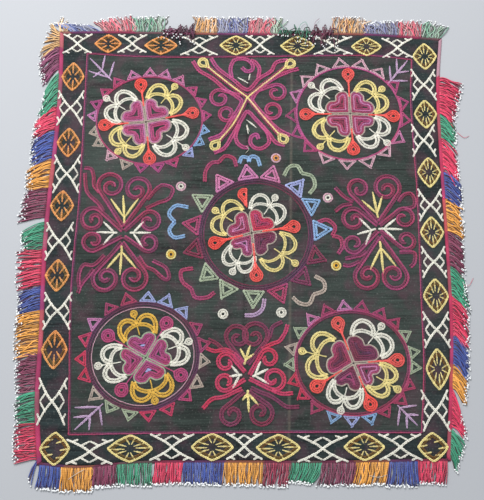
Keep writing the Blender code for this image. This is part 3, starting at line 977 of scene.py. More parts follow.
# Each wheel: its ring's centre and radii across and up, ring rows from outside in as dye and width; the
# cross's middle; hearts' length, edge dye, then filling dyes from the right, anticlockwise; drops as
# places from the right, anticlockwise, with their dyes; balls in the wedges after each drop, with their
# dyes; the crescents' width; the drops' stem, as its start, its width and the drop's point; and the
# collar's depth, row width, first angle and dyes, clockwise
WHEELS = [
    {
        "name": "wheel_top_left", "centre": (-135, 195), "ring": (77, 68), "ring_rows": [("magenta", 3.0)],
        "middle": (-140, 192), "heart": (38.5, "bone", [("pink", "orchid", "orchid")] * 4),
        "drops": [(-72, 206), (-149, 251), (-200, 187), (-133, 135)], "drop_dye": "scarlet",
        "balls": [(-99, 248, "yellow"), (-199, 229, "white"), (-179, 146, "yellow"), (-81, 152, "white")],
        "crescent": 3.1, "stem": (0.42, 3.4, 1.6),
        "collar": (14.5, 2.1, 91, [
            "pink", "pink", "pink", "orchid", "orchid", "orchid", "sky blue", "sky blue", "lilac blue",
            "orchid", "orchid", "orchid", "bone", "pale pink", "bone", "bone", "pink", "orchid",
            "orchid", "orchid", "pink",
        ]),
    },
    {
        "name": "wheel_top_right", "centre": (156, 206), "ring": (76, 73), "ring_rows": [("orchid", 3.0)],
        "middle": (158, 205), "heart": (38, "bone", [("magenta", "pink", "magenta", "wine")] * 4),
        "drops": [(221, 201), (157, 268), (93, 204), (161, 149)], "drop_dye": "scarlet",
        "balls": [(206, 244, "yellow"), (102, 250, "white"), (113, 153, "yellow"), (210, 159, "white")],
        "crescent": 3.1, "stem": (0.42, 3.4, 1.6),
        "collar": (15.5, 1.9, 97, [
            "pale pink", "pale pink", "pale pink", "orchid", "orchid", "orchid", "pink", "pale pink",
            "pale pink", "pale pink", "pale pink", "orchid", "orchid", "magenta", "pink", "pale pink",
            "pale pink",
        ]),
    },
    {
        "name": "wheel_middle", "centre": (20, 23), "ring": (80, 81),
        "ring_rows": [("plum", 2.7), ("plum", 2.7), ("plum", 1.2), ("wine", 1.2)],
        "middle": (14, 24), "heart": (36, "bone", [
            ("rose", "rose", "magenta", "magenta", "pink"), ("magenta", "magenta", "pink", "wine"),
            ("magenta", "magenta", "pink"), ("wine", "wine", "wine", "plum"),
        ]),
        "drops": [(73, 33), (3, 81), (-38, 9), (20, -37)], "drop_dye": "scarlet",
        "balls": [(47, 76, "white"), (-38, 57, "yellow"), (-13, -32, "white"), (74, -20, "yellow")],
        "crescent": 2.5, "stem": (0.25, 4.0, 2.1),
        "collar": (27, 3.7, 99, [
            "pink", "pink", "lilac blue", "sky blue", "sky blue", "wine", "wine", "magenta",
            "grey green", "grey green", "grey green", "wine", "magenta", "grey green", "pink",
        ]),
    },
    {
        "name": "wheel_bottom_left", "centre": (-134, -148), "ring": (76, 73),
        "ring_rows": [("plum", 2.8), ("plum", 2.8), ("plum", 1.2), ("pale pink", 1.2)],
        "middle": (-130, -151),
        "heart": (36, "grey green", [("orchid", "magenta", "orchid", "lilac blue")] * 4),
        "drops": [(-82, -174), (-103, -104), (-182, -121), (-161, -194)], "drop_dye": "orchid",
        "balls": [(-72, -129, "white"), (-148, -91, "gold"), (-194, -162, "white"), (-116, -208, "gold")],
        "crescent": 3.2, "stem": (0.15, 2.0, 1.15),
        "collar": (16.5, 2.2, 88, [
            "lilac blue", "lilac blue", "lilac blue", "magenta", "magenta", "bone", "bone", "orchid",
            "rose", "rose", "grey green", "grey green", "bone", "rose", "rose", "rose", "pink", "magenta",
            "magenta",
        ]),
    },
    {
        "name": "wheel_bottom_right", "centre": (149, -157), "ring": (77.5, 70.5),
        "ring_rows": [("magenta", 2.7), ("wine", 2.7)],
        "middle": (150.5, -158), "heart": (38, "bone", [
            ("wine", "wine", "wine", "plum"), ("magenta", "magenta", "wine", "plum"),
            ("wine", "wine", "magenta", "plum"), ("magenta", "pink", "wine", "plum"),
        ]),
        "drops": [(210, -154), (131, -104), (100, -189), (171, -213)], "drop_dye": "scarlet",
        "balls": [(190, -108, "white"), (81, -142, "yellow"), (131, -221, "white"), (208, -193, "yellow")],
        "crescent": 3.1, "stem": (0.32, 3.2, 1.7),
        "collar": (15, 2.0, 96, [
            "pink", "magenta", "magenta", "magenta", "grey green", "grey green", "grey green", "magenta",
            "magenta", "magenta", "sky blue", "lilac blue", "sky blue", "magenta", "rose", "rose",
            "grey green", "bone", "grey green", "pink", "magenta",
        ]),
    },
]

for seed, wheel in enumerate(WHEELS):
    chance = np.random.default_rng(70 + seed)
    rows = []
    middle = np.array(wheel["middle"], dtype=float)
    across, up = wheel["ring"]
    inset = 0.0
    for dye, wide in wheel["ring_rows"]:
        rows.append(row(ring_path(wheel["centre"], across - inset, up - inset), dye, wide))
        inset += wide
    deep, wide, first, teeth = wheel["collar"]
    edge = 0.5 * wheel["ring_rows"][0][1]
    collar(rows, wheel["centre"], across + edge, up + edge, math.radians(first), teeth, deep, wide, chance)
    ways = [math.atan2(y - middle[1], x - middle[0]) for x, y in wheel["drops"]]
    length, edge_dye, fillings = wheel["heart"]
    for i, (x, y, dye) in enumerate(wheel["balls"]):
        wedge = (ways[(i + 1) % 4] - ways[i]) % (2.0 * math.pi)
        heart = heart_path(middle, ways[i] + 0.5 * wedge, 0.5 * wedge, length)
        filled_in(rows, heart, (edge_dye,), HEART_EDGE)
        filled_in(rows, heart, fillings[i], *HEART_FILLING)
        crescents(rows, middle, (x, y), dye, wheel["crescent"], 0.5 * wedge)
    for drop in wheel["drops"]:
        whole = len(rows)
        stem_and_ball(rows, middle, drop, DROP_RADIUS, (wheel["drop_dye"],) * 3, DROP_WIDE, *wheel["stem"])
        if drop == CUT_DROP:
            rows[whole:] = [row(path[path[:, 0] < seam_at(drop[1])], *rest) for path, *rest in rows[whole:]]
    stitch(wheel["name"], rows, 30 + seed)


# Horn motifs
# Between the wheels, branching scrolls of magenta silk like rams' horns, two rows wide. Each horn runs
# out from the motif's heart and winds into a spiral, slowly at first and then faster.

HORN_END = 3.0
HORN_CURL = 1.4
HORN_LEAN = 0.25
HORN_WIDE = 3.6
BRANCH_WIDE = 3.2


def horn_path(x, y, centre_x, centre_y, outer, turns, hand):
    """From the start, straight to where it touches the spiral's outer circle, then round a centre that
    moves toward the start. The touching point is at acos(radius / distance) from the line back to it."""
    start, centre = np.array([(x, y), (centre_x, centre_y)], dtype=float)
    back = start - centre
    touch = math.atan2(back[1], back[0]) + hand * math.acos(min(1.0, outer / np.linalg.norm(back)))
    t = np.linspace(0.0, 1.0, 90)
    angle = touch + hand * 2.0 * math.pi * min(turns, (outer + 0.5) / 12.0) * t
    radius = outer + (HORN_END - outer) * t ** HORN_CURL
    shift = HORN_LEAN * outer * t[:, None] * back / np.linalg.norm(back)
    spiral = centre + shift + radius[:, None] * np.stack([np.cos(angle), np.sin(angle)], axis=1)
    return np.vstack([straight(start, spiral[0])[:-1], spiral])


# Each horn: start x, y; spiral centre x, y; outer radius; turns; hand, 1 for anticlockwise
HORN_MOTIFS = [
    {
        "name": "horns_left", "dyes": ("wine", "magenta"),
        "horns": [
            (-167, 33, -187, 96, 18, 1.55, -1), (-166, 33, -149, 90, 18, 1.50, 1),
            (-168, 10, -189, -43, 18, 1.50, 1), (-167, 10, -150, -42, 18, 1.50, -1),
            (-168, 27, -212, 44, 17, 1.50, 1), (-168, 18, -210, 12, 14, 1.40, -1),
            (-165, 27, -129, 41, 15, 1.45, -1), (-165, 18, -130, 10, 13, 1.40, 1),
        ],
        "branches": [
            [(-196, 56), (-204, 68), (-216, 79), (-222, 90), (-225, 113)],
            [(-203, 84), (-211, 95), (-212, 107), (-216, 119), (-226, 121)],
            [(-134, 73), (-123, 88), (-112, 95), (-99, 89), (-104, 75), (-120, 68), (-136, 60)],
            [(-192, -8), (-206, -22), (-220, -22), (-226, -36), (-225, -54)],
            [(-206, -28), (-213, -38), (-222, -50), (-226, -62)],
            [(-144, -10), (-134, -24), (-122, -30), (-108, -42), (-101, -40), (-106, -26), (-124, -16)],
        ],
    },
    {
        "name": "horns_right", "dyes": ("wine", "magenta"),
        "horns": [
            (192, 40, 166, 91, 14, 1.45, -1), (193, 40, 206, 92, 19, 1.70, 1),
            (193, 19, 174, -40, 18, 1.50, 1), (194, 19, 211, -40, 18, 1.50, -1),
            (191, 35, 156, 44, 16, 1.45, 1), (191, 27, 155, 8, 13, 1.40, -1),
            (194, 35, 230, 46, 14, 1.40, -1), (194, 27, 231, 13, 13, 1.35, 1),
        ],
        "branches": [
            [(158, 70), (145, 78), (133, 91)], [(156, 67), (142, 64), (132, 56)],
            [(222, 70), (230, 80), (240, 82), (245, 73), (243, 63), (230, 60)],
            [(174, -2), (166, -8), (158, -10), (144, -13)], [(164, -17), (150, -23), (141, -22)],
            [(220, -4), (240, -5), (240, -18), (234, -25)],
        ],
    },
    {
        "name": "horns_bottom", "dyes": ("rose", "rose"),
        "horns": [
            (4, -170, -23, -157, 12, 1.40, 1), (4, -180, -24, -183, 12, 1.40, -1),
            (10, -174, 37, -151, 12, 1.40, -1), (10, -179, 44, -179, 15, 1.45, 1),
        ],
        "branches": [
            [(26, -139), (41, -132), (51, -128), (59, -116), (62, -106)],
            [(40, -194), (54, -199), (68, -198)],
            [(2, -158), (-10, -146), (-22, -140), (-36, -142), (-48, -138)],
            [(0, -192), (-13, -198), (-24, -203), (-40, -206), (-52, -218)],
        ],
    },
    {
        "name": "horns_bottom_faded", "dyes": ("wine", "wine"),
        "horns": [
            (4, -160, -6, -121, 16, 1.45, -1), (8, -160, 17, -119, 18, 1.50, 1),
            (3, -196, -14, -228, 14, 1.35, 1), (9, -196, 25, -226, 16, 1.40, -1),
        ],
        "branches": [
            [(28, -135), (37, -123), (42, -109), (55, -102)],
            [(12, -191), (25, -197), (38, -202), (49, -209), (60, -216), (76, -216)],
            [(-22, -144), (-34, -132), (-46, -126)],
        ],
    },
]
# Three-pointed sprigs: foot; where the points part; their three tips; dye
SPRIGS = [
    ((-166, 38), (-166, 46), (-186, 74), (-169, 79), (-147, 75), "yellow"),
    ((-168, 5), (-168, -3), (-188, -28), (-169, -36), (-147, -27), "yellow"),
    ((-175, 24), (-179, 24), (-195, 40), (-204, 25), (-194, 6), "white"),
    ((-157, 24), (-153, 24), (-139, 40), (-128, 24), (-139, 3), "white"),
    ((192, 46), (191, 52), (170, 72), (186, 84), (199, 78), "yellow"),
    ((193, 12), (194, 3), (178, -29), (196, -34), (214, -24), "yellow"),
    ((188, 30), (182, 28), (166, 45), (162, 22), (173, 7), "white"),
    ((192, 30), (199, 30), (217, 45), (225, 29), (215, 14), "white"),
    ((3, -160), (5, -154), (-2, -139), (11, -134), (16, -146), "yellow"),
    ((8, -194), (8, -198), (1, -207), (9, -223), (22, -214), "yellow"),
    ((14, -176), (17, -175), (25, -156), (35, -166), (36, -186), "white"),
    ((0, -174), (-3, -174), (-14, -162), (-17, -176), (-12, -191), "white"),
]
for seed, motif in enumerate(HORN_MOTIFS):
    rows = []
    for horn in motif["horns"]:
        side_by_side(rows, horn_path(*horn), motif["dyes"], HORN_WIDE)
    for points in motif["branches"]:
        side_by_side(rows, bend(*points), motif["dyes"], BRANCH_WIDE)
    stitch(motif["name"], rows, 50 + seed)

rows = []
for foot, part, first, second, third, dye in SPRIGS:
    rows.append(row(straight(foot, part), dye, 4.2, 0.2))
    for tip in (first, second, third):
        spindle(rows, part, tip, dye, 4.9, 0.25)
stitch("sprigs", rows, 60)


# Crossed arms
# At the top middle, four cream arms cross and end in drops, and a magenta line of two rows runs on
# each side of every arm. Scrolls fill the sides, and half hearts the top and the bottom.

ARM_MIDDLE = (8, 231)
# Each arm: its bend and its end
ARMS = [((-25, 257), (-58, 287)), ((41, 259), (72, 285)), ((-12, 190), (-39, 155)), ((33, 198), (60, 165))]
FLANKS = [
    [(-46, 294), (-36, 278), (-16, 261), (8, 243), (26, 261), (43, 273), (51, 287), (68, 291)],
    [
        (-73, 289), (-63, 274), (-44, 261), (-25, 244), (-8, 232), (-1, 222), (-16, 195), (-29, 173),
        (-48, 164),
    ],
    [(84, 277), (64, 270), (45, 260), (27, 245), (17, 232), (17, 222), (37, 197), (52, 181), (70, 170)],
    [(-40, 144), (-25, 152), (-12, 174), (-1, 195), (8, 208), (20, 196), (38, 175), (49, 160), (62, 156)],
    [(-15, 262), (-17, 277), (-12, 290), (-2, 293), (9, 291), (16, 282), (14, 274), (6, 273), (0, 279)],
    [(24, 262), (26, 276), (21, 286), (13, 291)],
    [(-4, 188), (-9, 172), (-7, 160), (1, 153), (9, 152)],
    [(27, 188), (37, 174), (39, 160), (29, 151), (18, 152), (12, 160), (14, 169), (21, 172), (24, 165)],
]
SCROLLS = [
    (-2, 234, -34, 229, 13.5, 1.45, 1), (-5, 201, -23, 206, 12, 1.35, -1),
    (22, 241, 52, 238, 13.5, 1.45, -1), (24, 208, 45, 211, 13.5, 1.45, 1),
]
DARTS = [((-6, 262), (9, 253)), ((12, 268), (10, 258)), ((7, 195), (21, 183)), ((7, 186), (9, 174))]
rows = []
for turn_at, end in ARMS:
    arm = bend(ARM_MIDDLE, turn_at, end)
    angle = math.atan2(end[1] - turn_at[1], end[0] - turn_at[0])
    filled_in(rows, drop_path(end, angle, 8.6, 1.7), ("yellow", "yellow"), 3.0, lift=0.15)
    rows.append(row(arm[:-9], "yellow", 3.6, 0.2))
    side_by_side(rows, arm[2:-8], ("wine", "wine"), 4.6, -0.3)
for points in FLANKS:
    side_by_side(rows, bend(*points), ("orchid", "orchid"), 3.5)
for scroll in SCROLLS:
    side_by_side(rows, horn_path(*scroll), ("orchid", "magenta"), 3.3)
for start, end in DARTS:
    spindle(rows, start, end, "white", 2.9, 0.2)
stitch("crossed_arms", rows, 61)


# Brackets, rosettes and corner twigs
# Small fillers: double arcs outside the middle wheel, round eyes of two rings, and a forked twig in
# each corner of the field.

# Each bracket: its dye, then its two arcs as one list, the fourth point being the notch where they meet.
# The one with four points has a single arc
BRACKETS = [
    ("magenta", [(-53, 100), (-52, 116), (-44, 128), (-33, 130), (-24, 139), (-12, 135), (-8, 123)]),
    ("sky blue", [(-76, 62), (-94, 64), (-103, 52), (-95, 40), (-102, 28), (-95, 17), (-80, 19)]),
    ("grey green", [(60, 109), (67, 121), (79, 124), (86, 113), (100, 108), (104, 94), (96, 82)]),
    ("magenta", [(-68, -27), (-84, -31), (-82, -46), (-70, -56), (-64, -68), (-48, -68), (-38, -61)]),
    ("bone", [(101, -38), (113, -46), (113, -58), (99, -64), (92, -77), (79, -76), (70, -68)]),
    ("lavender", [(31, -70), (28, -84), (18, -92), (4, -93)]),
    ("magenta", [(107, 40), (120, 43), (131, 33), (127, 20), (138, 16), (140, 4), (134, -6)]),
    ("sky blue", [(-4, 128), (0, 137), (8, 136), (10, 130), (13, 138), (22, 136), (26, 124)]),
]
# Rosettes: x, y, outer dye, inner dye
ROSETTES = [
    (-87, 93, "pale pink", "white"), (49, 136, "pale pink", "orange"), (122, 76, "pale pink", "white"),
    (-99, -7, "yellow", "gold"), (-26, -91, "white", "white"), (54, -89, "white", "white"),
    (131, -23, "yellow", "gold"),
]
# Corner twigs: foot, then the tips of its five points
TWIGS = [
    [(-192, 257), (-226, 294), (-204, 298), (-190, 288), (-227, 273), (-220, 263)],
    [(216, 253), (246, 290), (230, 293), (219, 281), (245, 257), (247, 273)],
    [(-185, -212), (-221, -246), (-202, -246), (-185, -240), (-222, -217), (-223, -230)],
    [(207, -214), (232, -240), (218, -244), (206, -240), (232, -214), (234, -227)],
]
rows = []
for dye, points in BRACKETS:
    for arc in (points[:4], points[3:]):
        if len(arc) > 1:
            side_by_side(rows, bend(*arc), (dye, dye), 3.3)
for x, y, outer_dye, inner_dye in ROSETTES:
    filled_in(rows, ring_path((x, y), 7.6, 7.6), (outer_dye, inner_dye), 3.1)
for foot, main, *tips in TWIGS:
    foot = np.array(foot, dtype=float)
    spindle(rows, foot, main, "lavender", 4.6)
    for i, tip in enumerate(tips):
        fork = foot + (np.array(main) - foot) * (0.45 if i in (0, 3) else 0.12)
        spindle(rows, fork, tip, "lavender", 4.2)
stitch("small_fillers", rows, 62)


# Seam
# The panels are whipped together from behind in black thread, and only short stitches across the seam
# show.

SEAM_PITCH = 5.0
SEAM_REACH = (1.5, 0.6)
rows = []
for y in np.arange(-280.0, 330.0, SEAM_PITCH):
    place = np.array([seam_at(y), y])
    rows.append(row(straight(place - SEAM_REACH, place + SEAM_REACH), "black", 1.4, -0.2))
stitch("seam_stitches", rows, 63)


# Heading and fringe
# A narrow magenta band is sewn round the edge, and silk strands hang from it in blocks of colour, each
# strand ending in a white glass bead. They lie on the floor as they fell, some blocks folded back.

BAND_TOP = 2.1
BAND_EDGE = 0.9
BAND_STEP = 3.0
# The band's section from its inner edge to its outer one, as angles; its last two points lie underneath
BAND_TURNS = [180.0, 150.0, 110.0, 70.0, 30.0, 0.0, 0.0, 180.0]
BAND_TINT = 0.16
BAND_ENDS = (0.0006, 0.9994)
BAND_TWILL = (0.35, 4.0)
# The top right corner has lost its strands, and its band is paler there
BARE_RUN = 62.0
BARE_DYE = "#b98f9c"
STRAND_STEPS = 8
STRAND_SIDES = 4
STRAND_TIP = 0.6
STRAND_ROOT = 1.3
STRAND_REACH = 1.06
# How far a strand's root strays along the side, and its tip, the tip's as a share of the side's waviness
STRAND_STRAY = (0.4, 1.8)
STRAND_UNEVEN = (0.85, 1.12)
STRAND_TONE = (0.55, 1.35)
FADE_AND_GLARE_SPREAD = (0.2, 1.8)
# Folded strands: wider apart by, height at the root and at the end, crest, length, fading, tone
FOLD_APART = 1.6
FOLD_ROOT = 1.2
FOLD_TOP = (4.0, 5.6)
FOLD_CREST = (4.0, 13.0)
FOLD_REACH = (0.3, 1.9)
FOLD_FADE = 0.04
FOLD_TONE = 0.6
FLOOR_GAP = 0.02
BEAD_RADIUS = 1.25
BEAD_RINGS = 5
BEAD_AROUND = 6
BEAD_POLE = 0.05
BEAD_SUNK = 0.8
BEADED = 0.62
BEAD_SHADES = 180.0
BEAD_WHITES = ((0.72, 0.74, 0.76, 1.0), (0.90, 0.90, 0.88, 1.0))
# Thread materials: share and colour of the painted shade in the twist's furrows, the bump, and the shader's
# constants
THREADS = {
    "fringe silk": (0.25, (0.03, 0.02, 0.02, 1.0), 0.5, 0.0002, {
        "Roughness": 0.5, "Specular IOR Level": 0.3, "Sheen Weight": 0.08,
    }),
    "heading band": (0.5, (0.06, 0.012, 0.03, 1.0), 0.6, 0.0004, {
        "Roughness": 0.7, "Specular IOR Level": 0.2, "Sheen Weight": 0.06,
    }),
}
FRINGE_DYES = {
    "yellow": "#ecbc7c",
    "orange": "#eaa23c",
    "maroon": "#7c3050",
    "green": "#249470",
    "pale green": "#8fb496",
    "red": "#da3059",
    "rose": "#9a2a4a",
    "blue": "#2f4f9c",
    "navy": "#1c4f9e",
    "mauve": "#80365f",
    "pale": "#d8d2c4",
}
# Each side: its heading's dye, how far its strands are mixed toward pale (real fading, and on the top side
# mostly painted glare), how much of their length varies, their waviness, how thick they are and how far apart
SIDES = {
    "left": ("#a83a62", 0.05, 0.34, 1.2, 1.6, 1.7),
    "top": ("#6c2c46", 0.30, 0.30, 2.4, 1.5, 1.7),
    "right": ("#b83a5a", 0.04, 0.32, 1.6, 1.6, 1.7),
    "bottom": ("#5c2a3c", 0.05, 0.14, 1.0, 1.45, 1.35),
}
# The pale the strands are mixed toward: real fading, and on the top side mostly painted glare.
FADE_AND_GLARE_PALE = "#dcd6cc"
# Two layers of strands: height, tone, and share of wine mixed in; the lower layer's low tone and wine are
# painted shade
LAYERS = [(0.7, 0.50, 0.55), (1.9, 1.02, 0.05)]
# Loose threads: dye, thickness, and the places they lie through
LOOSE = [
    ("pale", 0.8, [(7, 188, 3.6), (9, 182, 4.0), (11, 176, 3.6)]),
    ("pale", 0.7, [(6, 154, 3.4), (10, 149, 4.2), (5, 143, 3.4)]),
    ("green", 0.7, [(52, 358, 3.0), (58, 350, 4.0), (66, 336, 3.4)]),
    ("green", 0.6, [(84, 336, 3.4), (88, 349, 4.4), (96, 354, 3.4), (99, 346, 2.8)]),
    ("maroon", 0.6, [(108, 338, 3.4), (110, 352, 4.4), (117, 360, 3.0)]),
    ("maroon", 0.6, [(140, 338, 3.4), (136, 350, 4.6), (142, 362, 4.0), (149, 358, 2.8)]),
    ("maroon", 0.6, [(156, 337, 3.4), (158, 350, 4.2), (155, 366, 3.0)]),
    ("pale", 0.7, [(-226, -309, 3.0), (-216, -302, 3.8), (-205, -296, 3.2)]),
    ("pale", 0.7, [(166, -304, 3.0), (178, -306, 3.8), (189, -303, 3.0)]),
    ("red", 0.6, [(313, 176, 0.8), (322, 168, 1.6), (330, 171, 0.8)]),
    ("red", 0.6, [(297, -42, 1.2), (312, -52, 1.8), (321, -40, 1.0)]),
]
# How each block lies along its side: dye; where it starts and ends, from the side's first corner; reach
# past the edge and drift along it, of its first strand and of its last. A reach below nought is folded
# back over the cloth.
BLOCKS = {
    "left": [
        ("yellow", 0, 27, 13.5, -15, 29.5, 21), ("mauve", 27, 68, 29.5, 21, 22.5, 27),
        ("green", 73, 123, 18.5, 30, 26.5, 22), ("red", 123, 163, 29.5, 22, 31.5, 14),
        ("blue", 164, 206, 31.5, 17, 28.5, 13), ("orange", 206, 247, 33.5, 16, 30.5, 3),
        ("maroon", 247, 290, 31.5, 4, 37.5, 7), ("green", 296, 334, 30.5, 16, 27.5, 4),
        ("red", 334, 384, 34.5, 3, 32.5, 8), ("blue", 384, 420, 30.5, 11, 28.5, 11),
        ("orange", 420, 481, 32.5, 8, 30.5, 5), ("maroon", 481, 534, 28.5, 5, 24.5, 5),
        ("green", 534, 576, 26.5, 8, 24.5, 1), ("red", 576, 624, 26.5, 5, 29.5, 3),
        ("blue", 624, 629, 10.5, 24, 7.5, 21),
    ],
    "top": [
        ("yellow", 0, 15, 24.5, -3, 10.5, -1), ("navy", 17, 65, 13.5, -22, 10.5, -19),
        ("red", 67, 118, 17.5, -15, 26.5, -5), ("green", 118, 160, 23.5, -1, 26.5, -1),
        ("mauve", 162, 201, -8, 5, -13, -1), ("orange", 201, 235, 25.5, 6, 24.5, -2),
        ("blue", 235, 280, 24.5, -2, 25.5, -1), ("red", 280, 318, 25.5, 3, 25.5, 0),
        ("pale green", 320, 332, 25.5, 1, 24.5, 3), ("green", 332, 378, -4, 5, -12, 0),
        ("maroon", 378, 413, -12, 3, -16, 1), ("orange", 413, 458, 25.5, 2, 25.5, 2),
        ("blue", 458, 509, 15.5, -4, 23.5, -4), ("red", 509, 543, 23.5, 1, 25.5, -1),
        ("green", 545, 572, 27.5, 3, 19.5, 10),
    ],
    "right": [
        ("red", 66, 133, 32.5, 11, 20.5, 15), ("green", 133, 167, 22.5, 21, 20.5, 15),
        ("red", 167, 218, 22.5, 27, 22.5, 20), ("blue", 218, 257, 24.5, 21, 22.5, 17),
        ("orange", 258, 301, 23.5, 15, 22.5, 13), ("maroon", 301, 347, 21.5, 15, 20.5, 13),
        ("green", 347, 389, 19.5, 22, 24.5, 22), ("red", 389, 440, 20.5, 22, 21.5, 20),
        ("blue", 440, 482, 19.5, 21, 21.5, 20), ("orange", 482, 520, 18.5, 21, 17.5, 21),
        ("red", 520, 570, 8.5, 30, 20.5, 12), ("green", 572, 609, 17.5, 22, 6.5, 19),
    ],
    "bottom": [
        ("blue", 4, 34, 28, -3, 28, 1), ("orange", 35, 79, 29, 0, 29, -2),
        ("maroon", 79, 117, 25, -1, 26, -1), ("green", 117, 153, 26, 1, 28, -1),
        ("red", 158, 201, 26, -4, 26, -1), ("blue", 201, 252, 26, 1, 27, -2),
        ("orange", 252, 298, 27, 0, 28, -3), ("rose", 298, 332, 29, -4, 29, -6),
        ("green", 332, 374, 23, -5, 26, -13), ("maroon", 374, 415, 28, -6, 28, -5),
        ("orange", 415, 458, 28, -5, 27, -7), ("blue", 458, 498, 30, -6, 30, -1),
        ("red", 498, 538, 26, -2, 29, -5),
    ],
}


def side_ways(side):
    """Unit vectors along a side and square outward from it, its first corner and its length."""
    first = np.array(OUTLINE[side][0])
    chord = np.array(OUTLINE[side][-1]) - first
    length = np.linalg.norm(chord)
    along = chord / length
    outward = np.array([along[1], -along[0]])
    if outward @ first < 0.0:
        outward = -outward
    return along, outward, length


def make_twist_group():
    """Twist effect, used for the strands and the heading: slanting waves of the place along and round the
    thread, which darken its dye by a share as painted shade in the twist's furrows. Outputs a colour and a
    height."""
    tree, given, result = new_group(
        "twisted thread", {"Place": "Vector", "Dye": "Color", "Furrow Shade": "Color", "Share": "Float"},
        {"Colour": "Color", "Height": "Float"})
    wave = wave_node(tree, given.outputs["Place"], "DIAGONAL", {"Scale": 1.0})
    share = math_node(tree, "MULTIPLY", wave, given.outputs["Share"])
    # Painted shade: the waves darken the dye toward the furrow shade colour.
    colour = mix_node(tree, share, given.outputs["Dye"], given.outputs["Furrow Shade"])
    fill(tree, result, {"Colour": colour, "Height": wave})
    return tree


def make_thread_material(name, group):
    """Silk or tape in its own dye: the twist reads the UV map, along the thread and round it."""
    share, dark, strength, distance, constants = THREADS[name]
    material, tree, shader = new_material(name)
    dye = attribute_node(tree, "dye").outputs["Color"]
    twist = use_group(tree, group, {"Place": thread_place(tree), "Dye": dye, "Furrow Shade": dark, "Share": share})
    surface(tree, shader, twist["Colour"], twist["Height"], strength, distance, constants)
    return material


def make_bead_material():
    """White glass beads, a little milky, each a slightly different white."""
    material, tree, shader = new_material("white glass bead")
    white = mix_node(tree, noise_node(tree, object_place(tree), BEAD_SHADES, 1.0), *BEAD_WHITES)
    fill(tree, shader, {"Base Color": white, "Roughness": 0.22, "Coat Weight": 0.4})
    return material


def make_band(side, material):
    """The heading: a rounded section, flat underneath, carried along the side between the outline and its
    inset, closed at both ends. Its dye varies along it and takes a tint from the strands beside it."""
    length = side_ways(side)[2]
    count = int(length / BAND_STEP)
    share = np.linspace(*BAND_ENDS, count)
    outer = curve_through(OUTLINE[side], share)
    inner = inset_side(side, share, 0.0)
    turn = np.radians(BAND_TURNS)
    width = 0.5 + 0.5 * np.cos(turn)
    height = BAND_TOP * np.sin(turn) ** 0.5
    height[[0, 5]] = BAND_EDGE
    height[6:] = 0.0
    x = inner[:, 0, None] + (outer - inner)[:, 0, None] * width[None, :]
    y = inner[:, 1, None] + (outer - inner)[:, 1, None] * width[None, :]
    z = np.broadcast_to(height[None, :], x.shape)
    points = to_frame(x, y, z).reshape(-1, 3)
    section = len(turn)
    ring = np.arange(section)
    a = (np.arange(count - 1)[:, None] * section + ring[None, :]).ravel()
    b = (np.arange(count - 1)[:, None] * section + ((ring + 1) % section)[None, :]).ravel()
    quads = np.stack([a, b, b + section, a + section], axis=1)
    caps = []
    for start in (0, (count - 1) * section):
        loop = start + ring
        pairs = [
            (loop[i], loop[i + 1], loop[section - 2 - i], loop[section - 1 - i])
            for i in range(section // 2 - 1)
        ]
        caps.extend(pairs if start else [quad[::-1] for quad in pairs])
    quads = np.vstack([quads, np.array(caps)])
    run = share * length
    u = np.repeat(run, section)[quads] * BAND_TWILL[0]
    v = np.tile(np.abs(width - 0.5), count)[quads] * BAND_TWILL[1]
    corners = np.stack([u, v], axis=-1).reshape(-1, 2)
    patch = 1.0 + 0.25 * np.sin(run / 23.0) * np.sin(run / 7.3 + 1.0)
    dyes = linear(SIDES[side][0]) * np.repeat(patch, section)[:, None]
    for dye, start, end, reach, *_ in BLOCKS[side]:
        near = np.repeat((run >= start) & (run < end) & (reach > 0.0), section)
        dyes[near] = (1.0 - BAND_TINT) * dyes[near] + BAND_TINT * linear(FRINGE_DYES[dye])
    if side == "right":
        dyes[np.repeat(run < BARE_RUN, section)] = linear(BARE_DYE)
    band = quads_mesh("heading_" + side, points, quads, material, dyes, corners)
    fix_faces(band)
    return band


def fix_faces(thing):
    """Turn every face of a closed mesh outward."""
    edit = bmesh.new()
    edit.from_mesh(thing.data)
    bmesh.ops.recalc_face_normals(edit, faces=edit.faces)
    edit.to_mesh(thing.data)
    edit.free()


def tube_quads(count, steps, sides):
    """Quads of many separate tubes, points numbered tube by tube and ring by ring."""
    ring = np.arange(sides)
    step = np.arange(steps - 1)
    a = step[:, None] * sides + ring[None, :]
    b = step[:, None] * sides + ((ring + 1) % sides)[None, :]
    one = np.stack([a, b, b + sides, a + sides], axis=-1).reshape(-1, 4)
    return (one[None] + (np.arange(count) * steps * sides)[:, None, None]).reshape(-1, 4)


